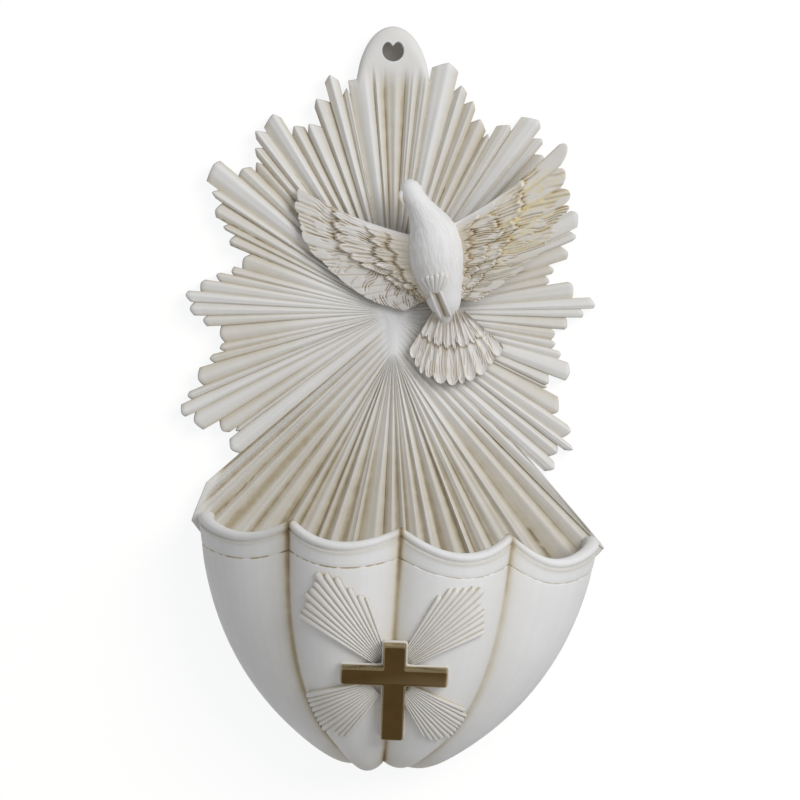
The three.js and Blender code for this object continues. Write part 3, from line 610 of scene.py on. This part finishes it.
fanLook = dict(
    ridges=12, ridgeColumns=11, rows=41, inner=6.0, ground=1.0, relief=0.52, notch=0.5, margin=1.2, crossPlace=0.61,
    seed=5,
    spans=dict(
        fan_upper_left=(111, 152, 129, 0.2, 0.75, 0.22), fan_upper_right=(28, 64, 48, 0.225, 0.35, 0.5),
        fan_lower_left=(196, 240, 215, 0.848, 0.16, 0.25), fan_lower_right=(301, 339, 325, 0.835, 0.2, 0.15),
    ),
)
crossDrop = fanLook["crossPlace"] * bowlLook["height"]


# points a height off the bowl's outside, square to it, over the places seen at x and z
def offBowl(x, z, height):
    step = 0.3
    depth = bowlDepth(x, z)
    slopeX = (bowlDepth(x + step, z) - depth) / step
    slopeZ = (bowlDepth(x, z + step) - depth) / step
    square = height / np.sqrt(1 + slopeX**2 + slopeZ**2)
    return onPlate(x - slopeX * square, depth + square, z - slopeZ * square)


# rods that spread from the crossing: across a rod its height is a round arch, along it the end is rounded off
def makeFan(start, end, peak, tipPlace, fallBefore, fallAfter):
    look = fanLook
    rng = np.random.default_rng(look["seed"] + start)
    rods = look["ridges"]
    f = np.linspace(0.03, 0.97, look["ridgeColumns"])
    edge = np.linspace(start, end, rods + 1)
    edge[1:-1] += rng.uniform(-0.2, 0.2, rods - 1) * (end - start) / rods
    angle = mix(edge[:-1, None], edge[1:, None], f)
    arch = 1 - np.abs(2 * f - 1) ** 2.6 + 0 * angle
    reach = (crossDrop - tipPlace * bowlLook["height"]) / math.sin(math.radians(peak))
    middle = (edge[:-1, None] + edge[1:, None]) / 2
    fall = np.where(middle < peak, fallBefore, fallAfter)
    tip = reach - fall * np.abs(middle - peak) - 1.8 * rng.random((rods, 1)) ** 1.5 * (np.abs(middle - peak) > 3)
    tip = tip - look["notch"] * np.abs(2 * f - 1) ** 2.5
    angle, arch, tip = angle.ravel(), arch.ravel(), tip.ravel()
    along = np.linspace(0, 1, look["rows"])[:, None] ** 0.8
    out = mix(look["inner"], tip, along)
    z = out * np.sin(np.radians(angle)) - crossDrop
    farLeft = bowlSurface(np.full(z.shape, 1.0), z, 0)[0] + look["margin"]
    farRight = bowlSurface(np.full(z.shape, lobeCount - 1.0), z, 0)[0] - look["margin"]
    x = np.clip(out * np.cos(np.radians(angle)), farLeft, farRight)
    rounded = np.sqrt(1 - np.clip((out - tip + 1.6) / 1.6, 0, 1) ** 2)
    uneven = 0.85 + 0.15 * wander(0.5 * out, np.repeat(rng.random(rods) * 6, look["ridgeColumns"]))
    height = (look["ground"] + look["relief"] * arch * uneven) * mix(0.3, 1, rounded)
    front, back = offBowl(x, z, height), offBowl(x[::5], z[::5], np.full(x[::5].shape, -look["ground"]))
    washAndShade = 0.48 * (1 - arch) ** 1.2 + 0.09 + 0.12 * (1 - rounded) + 0 * out
    return thickSheet(front, back, washAndShade, 0 * washAndShade)


for fanName, span in fanLook["spans"].items():
    setInPlace(makePiece("rays_" + fanName[4:], [makeFan(*span)]), fanName, castStone)


# Cross and the pad behind it

crossLook = dict(
    height=31.0, span=29.4, post=6.2, beam=5.4, turn=2.0, shift=0.7, thickness=1.8, below=2 / 3, bevel=0.45, corner=0.7, glue=0.3,
    padMargin=0.4, padThickness=0.9, padCorner=0.9,
)


# outline of the cross moved out by grow, with its twelve corners cut round by a quadratic curve
def crossOutline(grow, corner):
    look = crossLook
    post, beam, reach = look["post"] / 2 + grow, look["beam"] / 2 + grow, look["span"] / 2 + grow
    top, foot = look["height"] * (1 - look["below"]) + grow, look["height"] * look["below"] + grow
    right = np.array([(post, -foot), (post, -beam), (reach, -beam), (reach, beam), (post, beam), (post, top)])
    corners = np.concatenate([right, right[::-1] * (-1, 1)])
    before, after = np.roll(corners, 1, 0) - corners, np.roll(corners, -1, 0) - corners
    before, after = (way / np.linalg.norm(way, axis=1, keepdims=True) for way in (before, after))
    t = np.linspace(0, 1, 6)[None, :, None]
    rounded = corners[:, None] + corner * ((1 - t) ** 2 * before[:, None] + t**2 * after[:, None])
    turn = math.radians(look["turn"])
    turned = np.array([(math.cos(turn), math.sin(turn)), (-math.sin(turn), math.cos(turn))])
    return rounded.reshape(-1, 2) @ turned + (look["shift"], 0)


# the cross lies on a plane that leans with the bowl's front and clears it by the pad's thickness
crossTop, crossFoot = crossLook["height"] * (1 - crossLook["below"]), -crossLook["height"] * crossLook["below"]
frontDepths = bowlDepth(np.zeros(2), np.array([crossTop, crossFoot]) - crossDrop)
crossLean = math.atan2(frontDepths[0] - frontDepths[1], crossLook["height"])
padEdge = crossOutline(crossLook["padMargin"], 0.01)
padClearing = bowlDepth(padEdge[:, 0], padEdge[:, 1] * math.cos(crossLean) - crossDrop) - padEdge[:, 1] * math.sin(crossLean)
crossDepth = padClearing.max() + crossLook["padThickness"]


# points over the leaning plane: a outline and a height above it
def overCross(outline, height):
    a, b = outline[..., 0], outline[..., 1]
    depth = crossDepth + b * math.sin(crossLean) + height * math.cos(crossLean)
    return a, depth, b * math.cos(crossLean) - height * math.sin(crossLean) - crossDrop


# rings of the outline, one for each inset and height
def makeCross():
    look = crossLook
    bevel = look["bevel"]
    low, high = look["glue"] - 0.3, look["glue"] + look["thickness"]
    steps = ((0.0, low), (0.0, high - bevel), (-0.3 * bevel, high - 0.3 * bevel), (-bevel, high), (-1.6 * bevel, high))
    rings = np.stack([onPlate(*overCross(crossOutline(grow, look["corner"]), h)) for grow, h in steps])
    outline = crossOutline(0, look["corner"])
    chipped = bell(np.hypot(outline[:, 0] - look["span"] / 2, outline[:, 1] + 0.5), 1.6)
    chipped = 0.4 * chipped
    washAndShade = np.stack([0.6 + 0 * chipped, 0.6 + chipped, 0.3 + chipped, chipped, 0.5 * chipped])
    return closedTube(rings, washAndShade)


# the pad: a rounded edge at the cross, and sides that run down into the bowl
def makePad():
    look = crossLook
    rings = [onPlate(*overCross(crossOutline(look["padMargin"] - inset, look["padCorner"]), -drop))
             for inset, drop in ((0.55, 0.0), (0.3, 0.02), (0.1, 0.15), (0.0, 0.4))]
    outline = crossOutline(look["padMargin"], look["padCorner"])
    x, depth, z = overCross(outline, -0.4)
    foot = np.minimum(bowlDepth(x, z) - 0.7, depth - 0.1)
    rings = np.stack([*rings, onPlate(x, foot, z)])
    return closedTube(rings, np.array([0.4, 0.35, 0.25, 0.15, 0.5])[:, None] + 0 * rings[..., 0])


setInPlace(makePiece("pad", [makePad()], crease=50), "cross_pad", castStone)
setInPlace(makePiece("gilt_cross", [makeCross()], crease=35), "cross", gilt)


# Dove: body, thigh tufts, legs and beak

onRays = 5.6  # depth of the dove's flat back, over the crests of the rays
bodyLook = dict(
    stations=((14.9, -1.2, 1.8, 0.5), (14.7, 1.0, 2.8, 1.8), (14.5, 3.2, 3.8, 3.2), (14.3, 5.6, 4.5, 4.4),
              (13.9, 8.4, 4.9, 5.3), (13.1, 12.6, 5.5, 6.7), (12.2, 17.6, 6.1, 7.8), (11.5, 23, 6.7, 7.7),
              (10.4, 26.6, 7.4, 6.5), (9.1, 29.4, 8.2, 5.2), (7.2, 32.9, 9.1, 3.7), (5.6, 35.6, 9.6, 3.2),
              (4.7, 37.9, 9.9, 3.0), (4.4, 39.6, 9.8, 2.1), (4.3, 40.5, 9.6, 0.8)),
    sides=260, rows=300, sink=0.6, strokesAround=96, strokesAlong=32, strokeDepth=0.15, seed=8,
    beak=((3.2, 37.5, 10.6), (1.9, 35.8, 11.0), (2.7, 33.0, 10.8)), beakRadius=1.0,
    tuftTops=((6.7, 12.9), (7.8, 13.4), (9.2, 13.8), (10.5, 13.8), (12.0, 14.3), (13.4, 14.6), (14.8, 14.0)),
    tuftEnd=((10.0, 8.8), (12.6, 8.8)), tuftRadius=0.85,
    legs=(((9.9, 10.2), (11.2, 6.2), (13.2, 1.8)), ((12.7, 10.0), (14.2, 6.2), (16.0, 2.2))), legRadius=0.6,
)
bodyLine = throughPoints(bodyLook["stations"], np.linspace(0, 1, bodyLook["rows"]))


# height of the body's front over the rays at x and z: a circle across the line of stations
def bodyTop(x, z):
    middle, centre, radius = (np.interp(z, bodyLine[:, 1], bodyLine[:, column]) for column in (0, 2, 3))
    return centre + np.sqrt(np.maximum(radius**2 - (x - middle) ** 2, 0.01 * radius**2))


# rings across a line of stations with the radius of each, flattened on the rays, with strokes carved on the breast
def makeBody():
    look = bodyLook
    rng = np.random.default_rng(look["seed"])
    s = np.linspace(0, 1, look["rows"])[:, None]
    way = np.gradient(bodyLine[:, :2], axis=0)
    way = way / np.linalg.norm(way, axis=1, keepdims=True)
    turn = np.linspace(0, 2 * np.pi, look["sides"], endpoint=False)[None, :]
    stroke = strokes(turn / (2 * np.pi) * look["strokesAround"] + 0 * s, s * look["strokesAlong"] + 0 * turn, rng)
    carved = stroke * ease(s, 0.22, 0.36) * (1 - ease(s, 0.7, 0.86)) * ease(np.sin(turn), -0.1, 0.3)
    radius = bodyLine[:, 3:4] - look["strokeDepth"] * carved
    across, height = radius * np.cos(turn), bodyLine[:, 2:3] + radius * np.sin(turn)
    x = bodyLine[:, 0:1] + way[:, 1:2] * across
    z = bodyLine[:, 1:2] - way[:, 0:1] * across
    rings = inFront(x, z, np.maximum(onRays + height, onRays - look["sink"]))
    # painted shade: the lower left flank of the body, turned away from the light, is darker
    leftShade = 0.7 * (1 - ease(height, -0.5, 6.0)) * ease(-np.cos(turn), -0.6, 0.4)
    crease = 0.85 * bell(x - np.interp(z, (1, 10), (15.0, 11.2)), 0.5) * ease(z, 1.0, 3) * (1 - ease(z, 9.5, 12))
    crease = crease * (height > 6)
    # the low band near the rays is painted shade where the body meets them; the carved strokes and the crease hold
    # real wash
    washAndShade = leftShade + 0.2 * (1 - ease(height, -0.5, 4.0)) + 0.12 * carved + crease
    return closedTube(rings, washAndShade)


# a limb: rings square to a curve of x, z and height over the rays, with a radius for each
def limb(path, radius, sides=16):
    line = throughPoints([(x, -(onRays + height), z) for x, z, height in path], np.linspace(0, 1, len(radius)))
    way = np.gradient(line, axis=0)
    way = way / np.linalg.norm(way, axis=1, keepdims=True)
    side = np.cross(way, (0.0, 1.0, 0.0))
    side = side / np.linalg.norm(side, axis=1, keepdims=True)
    out = np.cross(side, way)
    turn = np.linspace(0, 2 * np.pi, sides, endpoint=False)[None, :, None]
    ring = np.cos(turn) * side[:, None] + np.sin(turn) * out[:, None]
    return line[:, None] + np.asarray(radius)[:, None, None] * ring


# thigh tufts that lean together, and under them two tucked legs, all lying on the belly
def makeThighs():
    look = bodyLook
    s = np.linspace(0, 1, 40)
    blunt = np.sqrt(np.clip(1 - (2 * s - 1) ** 8, 0.02, 1)) * mix(1, 0.7, s)
    ends = np.linspace(*look["tuftEnd"], len(look["tuftTops"]))
    tufts = [((*top, 0), (*mix(np.array(top), end, 0.5), 0.15), (*end, 0.1)) for top, end in zip(look["tuftTops"], ends)]
    legs = [((*a, 0.3), (*b, 0.5), (*c, 0.9)) for a, b, c in look["legs"]]
    surfaces = []
    for paths, size in ((tufts, look["tuftRadius"]), (legs, look["legRadius"])):
        for path in paths:
            onBody = [(x, z, bodyTop(np.array(x), np.array(z)) + rise) for x, z, rise in path]
            rings = limb(onBody, size * blunt)
            # painted shade on the side of each tuft and leg that faces the belly
            underShade = 0.65 * ease(rings[:, :, 1] - rings[:, :, 1].mean(1, keepdims=True), -0.2 * size, 0.6 * size)
            surfaces.append(closedTube(rings, 0.12 + underShade))
    return surfaces


# the beak: a short cone with a blunt tip that bends down out of the face
def makeBeak():
    look = bodyLook
    s = np.linspace(0, 1, 30)
    rings = limb(look["beak"], look["beakRadius"] * (1 - s**2) ** 0.5 * (1 - 0.45 * s) + 0.1)
    return closedTube(rings, 0.4 * ease(s[:, None], 0.3, 0.8) + 0 * rings[..., 0])


# Wings and tail: one carved sheet each, in layers of feathers

featherLook = dict(
    thickness=1.3, step=0.02, lip=0.025, creaseWidth=0.08, creaseDepth=0.1, rootShare=-0.05, backStep=30, ragged=0.025,
    swellTo=0.24, lowFrom=0.42, lowTo=0.6, armWidth=0.09, armTo=0.6, plainWidth=0.11, plainFrom=0.72,
)
leftWing = dict(
    seed=21, roots=((5, 25, 5.6), (10.5, 7.6, 5)), dip=1.6, columns=520, rows=151, swell=2.4, arm=0.5,
    tips=((-28, 39, 1.7), (-27.4, 30, 1.7), (-24, 21.6, 1.7), (-16.4, 13.8, 1.7), (-8, 7.6, 1.8), (3, 3.8, 2.2)),
    strokes=(32, 11), strokeDepth=0.42, slant=0, lowStrokes=(46, 8), lowDepth=0.55, lowSlant=0.4, barbs=0,
    shoulder=0.22, stain=0.75, gold=0.1, goldAt=(0.4, 0.6), goldSize=(0.2, 0.2),
    layers=(
        dict(feathers=13, ends=((0, 1.0),), notch=0.018, uneven=0.03, rise=0.0, camber=0.04, lift=0.0),
        dict(feathers=10, ends=((0, 0.72), (0.45, 0.7), (0.62, 0.48), (1, 0.36)), notch=0.05, uneven=0.12, rise=0.9,
             camber=0.2, lift=0.2),
        dict(feathers=7, ends=((0, 0.46), (0.5, 0.46), (1, 0.3)), notch=0.06, uneven=0.2, rise=0.7, camber=0.2, lift=0.2),
        dict(feathers=5, ends=((0, 0.28), (0.5, 0.28), (1, 0.2)), notch=0.05, uneven=0.2, rise=0.55, camber=0.2, lift=0.15),
    ),
)
rightWing = dict(
    seed=22, roots=((13.4, 26.6, 6.4), (16.0, 7.8, 3.4)), dip=2.6, columns=520, rows=151, swell=2.4, arm=0.9,
    tips=((48.2, 52.4, 12), (48.8, 43.6, 12.4), (50.4, 35.4, 12.4), (46.8, 29.4, 11.6), (43.8, 22.8, 10.8),
          (37, 16.4, 8.8), (30.4, 10.8, 6.6), (23, 6.2, 5)),
    strokes=(38, 10), strokeDepth=0.55, slant=0.2, lowStrokes=(52, 7), lowDepth=0.45, lowSlant=-0.1, barbs=0,
    shoulder=0.14, stain=0.85, gold=0.95, goldAt=(0.34, 0.7), goldSize=(0.36, 0.34),
    layers=(
        dict(feathers=9, ends=((0, 1.0),), notch=0.06, uneven=0.06, rise=0.0, camber=0.15, lift=0.0),
        dict(feathers=8, ends=((0, 0.72), (0.2, 0.66), (0.65, 0.56), (1, 0.5)), notch=0.05, uneven=0.14, rise=1.0,
             camber=0.2, lift=0.4),
        dict(feathers=8, ends=((0, 0.5), (0.5, 0.43), (1, 0.36)), notch=0.05, uneven=0.18, rise=0.85, camber=0.2, lift=0.35),
        dict(feathers=7, ends=((0, 0.34), (0.2, 0.27), (1, 0.2)), notch=0.06, uneven=0.2, rise=0.45, camber=0.25, lift=0.3),
    ),
)
tailFan = dict(
    seed=23, roots=((10.6, 3, 4), (20.4, 3.4, 4.2)), dip=0.0, columns=420, rows=181, swell=1.6, arm=0.0,
    tips=((4.0, -7.6, 2), (8.2, -14.0, 2.2), (16, -17.2, 2.4), (25, -14.6, 2.4), (31.4, -6.2, 2)),
    strokes=(40, 7), strokeDepth=0.3, slant=0.1, lowStrokes=(40, 7), lowDepth=0.3, lowSlant=-0.1, barbs=0,
    shoulder=0.0, stain=0.7, gold=0.1, goldAt=(0.5, 0.9), goldSize=(0.2, 0.2),
    layers=(
        dict(feathers=11, ends=((0, 1.0),), notch=0.08, uneven=0.05, rise=0.0, camber=-0.6, lift=0.2),
        dict(feathers=8, ends=((0, 0.56),), notch=0.09, uneven=0.14, rise=0.8, camber=-0.55, lift=0.3),
    ),
)


# a place on a spread: from the line of roots at t to the curve of tips at t, dipped along its leading edge
def onSpread(spread, t, share):
    roots = np.array(spread["roots"], float)
    place = mix(mix(roots[0], roots[1], t[..., None]), throughPoints(spread["tips"], t), share[..., None])
    dip = spread["dip"] * np.sin(np.pi * np.clip(share, 0, 1)) * (1 - t) ** 3
    return place[..., 0], place[..., 1] - dip, onRays + place[..., 2]


# a layer's end at t, and the place across the feather there from -1 to 1: round tips, each with its own length
def featherEnds(layer, t, rng):
    edges = np.linspace(0, 1, layer["feathers"] + 1)
    edges[1:-1] += rng.uniform(-0.3, 0.3, layer["feathers"] - 1) / layer["feathers"]
    place = np.minimum(np.interp(t, edges, np.arange(layer["feathers"] + 1)), layer["feathers"] - 1e-6)
    feather = place.astype(int)
    across = 2 * (place - feather) - 1
    length = 1 - layer["uneven"] * rng.random(layer["feathers"])[feather]
    return np.interp(t, *np.transpose(layer["ends"])) * length - layer["notch"] * np.abs(across) ** 2.4, across


# a sheet over a spread: layer on layer up to the shoulder, each with a ragged step at its end, a raised lip and
# creases between its feathers, all fading into a smooth arm on the leading edge; strokes run along the feathers,
# closer and aslant over the trailing part, and barbs slant off the quills where a spread asks for them, which none
# here does
def makePlumage(spread):
    look = featherLook
    rng = np.random.default_rng(spread["seed"])
    t = np.linspace(0, 1, spread["columns"])[None, :]
    ends = [featherEnds(layer, t, rng) for layer in spread["layers"]]
    share = mix(look["rootShare"], ends[0][0], np.linspace(0, 1, spread["rows"])[:, None])
    t = t + 0 * share
    arm = bell(t, look["armWidth"]) * (1 - ease(share, look["armTo"] - 0.2, look["armTo"])) * (spread["arm"] > 0)
    height = spread["swell"] * (1 - ease(share, look["rootShare"], look["swellTo"])) ** 2 + spread["arm"] * arm
    crease, foot, over = (0 * share for _ in range(3))
    for layer, (end, across) in zip(spread["layers"], ends):
        end = end + look["ragged"] * ground(70 * t, 5 * (share + 0.2), rng) * (layer["rise"] > 0)
        inside = ease(end - share, 0, look["step"]) * (1 - arm)
        camber = layer["camber"] * (1 - across**2) + layer["lift"] * bell(end - share - look["lip"], look["lip"])
        between = bell((1 - np.abs(across)) * 0.5, look["creaseWidth"]) * ease(share, 0.05, 0.25)
        height = height + inside * (layer["rise"] + camber - look["creaseDepth"] * between)
        crease = mix(crease, between, inside)
        foot = mix(foot + bell(share - end, look["lip"]) * (share > end) * (1 - arm), 0, inside)
        over = np.where(inside > 0.5, across, over)

    low = ease(t, look["lowFrom"], look["lowTo"])
    stroke, depths = [], (spread["strokeDepth"], spread["lowDepth"])
    for (count, pieces), slant in ((spread["strokes"], spread["slant"]), (spread["lowStrokes"], spread["lowSlant"])):
        stroke.append(strokes((t + 1 - slant * share) * count, (share + 0.2) * pieces, rng))
    carved = mix(*stroke, low) * ease(share, spread["shoulder"], spread["shoulder"] + 0.12) * (1 - arm)
    barb = bell(np.sin(np.pi * (spread["barbs"] * share - 0.9 * np.abs(over))), 0.45) * (1 - over**4)
    carved = np.maximum(carved, 0.7 * barb * (spread["barbs"] > 0))
    plainTip = bell(t, look["plainWidth"]) * ease(share, look["plainFrom"], look["plainFrom"] + 0.15)
    carved = carved * (1 - plainTip)
    height = height - mix(*depths, low) * carved
    x, z, depth = onSpread(spread, t, share)
    smooth = 1 - ease(share, spread["shoulder"], spread["shoulder"] + 0.2)
    # the foot term is painted shadow, on each layer just past the end of the layer above where its step casts shade;
    # strokes and creases hold real wash
    washAndShade = spread["stain"] * (0.2 + 0.4 * carved + 0.3 * crease + 0.6 * foot + 0.3 * smooth) * (1 - 0.7 * arm)
    gold = spread["gold"] * (1 - 0.5 * carved) * ease(ground(50 * t, 8 * (share + 0.2), rng), -0.8, 0.6)
    for place, middle, size in zip((t, share), spread["goldAt"], spread["goldSize"]):
        gold = gold * bell(place - middle, size) * (1 - plainTip)
    back = inFront(x, z, depth - look["thickness"])[:: look["backStep"]]
    return thickSheet(inFront(x, z, depth + height), back, washAndShade, gold)


setInPlace(makePiece("dove", [makeBody(), makeBeak(), *makeThighs()]), "dove_body", doveStone)
for wingName, node, spread in (("wing_left", "left_wing", leftWing), ("wing_right", "right_wing", rightWing),
                               ("tail_fan", "tail", tailFan)):
    setInPlace(makePiece(wingName, [makePlumage(spread)]), node, doveStone)


# Wall and floor, light and camera

studio = dict(
    wallBehind=0.5, floorBelow=330, sweep=120, halfWidth=3000, reach=3000, glow=(0.85, 0.862, 0.88), paper=(0.2, 0.18, 0.15),
    holeDim=3.6, holeClear=4.2, holeGlow=0.055, keyFrom=(960, 1200, 640), keySize=1150, keyPower=17.9, fill=0.43,
    lookAt=(2, -21), cameraAway=2400, cameraAzimuth=-1.0, cameraHeight=0.5, frameWidth=224,
)


# a sheet that hangs behind the object, sweeps through a quarter circle and lies on the floor
def makeStage():
    look = studio
    sweep = np.radians(np.linspace(0, 90, 16))
    depth = np.concatenate([[0, 0], look["sweep"] * (1 - np.cos(sweep)), [look["reach"]]]) - look["wallBehind"]
    z = np.concatenate([[look["reach"], 0], look["sweep"] * (1 - np.sin(sweep)) - look["floorBelow"], [-look["floorBelow"]]])
    x = np.array([-1, 1])[None, :] * look["halfWidth"]
    points = inFront(x, z[:, None], depth[:, None]).reshape(-1, 3) * mm
    mesh = bpy.data.meshes.new("backdrop")
    mesh.from_pydata(points.tolist(), [], gridFaces(len(z), 2)[:, ::-1].tolist())
    backdrop = bpy.data.objects.new("backdrop", mesh)
    bpy.context.collection.objects.link(backdrop)
    paper = bpy.data.materials.new("paper")
    paper.use_nodes = True
    nodes, links = paper.node_tree.nodes, paper.node_tree.links
    nodes.clear()
    ray, side = nodes.new("ShaderNodeLightPath"), nodes.new("ShaderNodeNewGeometry")
    seen = nodes.new("ShaderNodeMath")
    seen.operation = "MAXIMUM"
    links.new(ray.outputs["Is Camera Ray"], seen.inputs[0])
    links.new(ray.outputs["Is Glossy Ray"], seen.inputs[1])
    # painted shade: the glow is dimmed where the backdrop shows through the nail hole, so the hole reads as a dark,
    # shaded opening
    fromHole, dimmed = nodes.new("ShaderNodeVectorMath"), nodes.new("ShaderNodeMapRange")
    fromHole.operation = "DISTANCE"  # the glow dies away behind the nail hole
    fromHole.inputs[1].default_value = (0, 0, plateLook["holeHeight"] * mm)
    links.new(nodes.new("ShaderNodeTexCoord").outputs["Object"], fromHole.inputs[0])
    dimming = dict(zip(("From Min", "From Max", "To Min"), (look["holeDim"] * mm, look["holeClear"] * mm, look["holeGlow"])))
    for socket, value in dimming.items():
        dimmed.inputs[socket].default_value = value
    links.new(fromHole.outputs["Value"], dimmed.inputs["Value"])
    strength = nodes.new("ShaderNodeMath")
    strength.operation = "MULTIPLY"
    links.new(dimmed.outputs["Result"], strength.inputs[1])
    links.new(seen.outputs[0], strength.inputs[0])
    glow, matt = nodes.new("ShaderNodeEmission"), nodes.new("ShaderNodeBsdfDiffuse")
    links.new(strength.outputs[0], glow.inputs["Strength"])
    glow.inputs["Color"].default_value = (*look["glow"], 1)
    matt.inputs["Color"].default_value = (*look["paper"], 1)
    both, clear = nodes.new("ShaderNodeAddShader"), nodes.new("ShaderNodeBsdfTransparent")
    links.new(glow.outputs[0], both.inputs[0])
    links.new(matt.outputs[0], both.inputs[1])
    shown = nodes.new("ShaderNodeMixShader")
    links.new(side.outputs["Backfacing"], shown.inputs[0])
    links.new(both.outputs[0], shown.inputs[1])
    links.new(clear.outputs[0], shown.inputs[2])
    links.new(shown.outputs[0], nodes.new("ShaderNodeOutputMaterial").inputs["Surface"])
    mesh.materials.append(paper)
    backdrop.visible_shadow = False
    backdrop.visible_diffuse = False


# the world fills the shadows evenly and is white where it is seen
def makeFill():
    world = bpy.data.worlds.new("studio")
    bpy.context.scene.world = world
    world.use_nodes = True
    nodes, links = world.node_tree.nodes, world.node_tree.links
    ray, strength = nodes.new("ShaderNodeLightPath"), nodes.new("ShaderNodeMix")
    strength.inputs["A"].default_value = studio["fill"]
    strength.inputs["B"].default_value = 1
    links.new(ray.outputs["Is Camera Ray"], strength.inputs["Factor"])
    nodes["Background"].inputs["Color"].default_value = (1, 1, 1, 1)
    links.new(strength.outputs["Result"], nodes["Background"].inputs["Strength"])


# an object at x, z and depth that points at another such place
def aimed(thing, x, z, depth, target):
    place = np.array([x, -depth, z]) * mm
    way = np.array([target[0], 0, target[1]]) * mm - place
    thing.location = place
    from mathutils import Vector
    thing.rotation_euler = Vector(way).to_track_quat("-Z", "Y").to_euler()
    bpy.context.collection.objects.link(thing)


makeStage()
makeFill()
lamp = bpy.data.lights.new("key", "AREA")
lamp.shape = "DISK"
lamp.size = studio["keySize"] * mm
lamp.energy = studio["keyPower"]
keyX, keyDepth, keyZ = studio["keyFrom"]
aimed(bpy.data.objects.new("key", lamp), keyX, keyZ, keyDepth, studio["lookAt"])

lens = bpy.data.cameras.new("camera")
lens.sensor_width = 36
lens.lens = 36 * studio["cameraAway"] / studio["frameWidth"]
lens.clip_start, lens.clip_end = 0.05, 20
camera = bpy.data.objects.new("camera", lens)
azimuth, height = math.radians(studio["cameraAzimuth"]), math.radians(studio["cameraHeight"])
aimed(camera, studio["lookAt"][0] + studio["cameraAway"] * math.sin(azimuth),
      studio["lookAt"][1] + studio["cameraAway"] * math.sin(height), studio["cameraAway"] * math.cos(azimuth),
      studio["lookAt"])
bpy.context.scene.camera = camera
bpy.context.scene.view_settings.view_transform = "Standard"
print("stage, light and camera set")
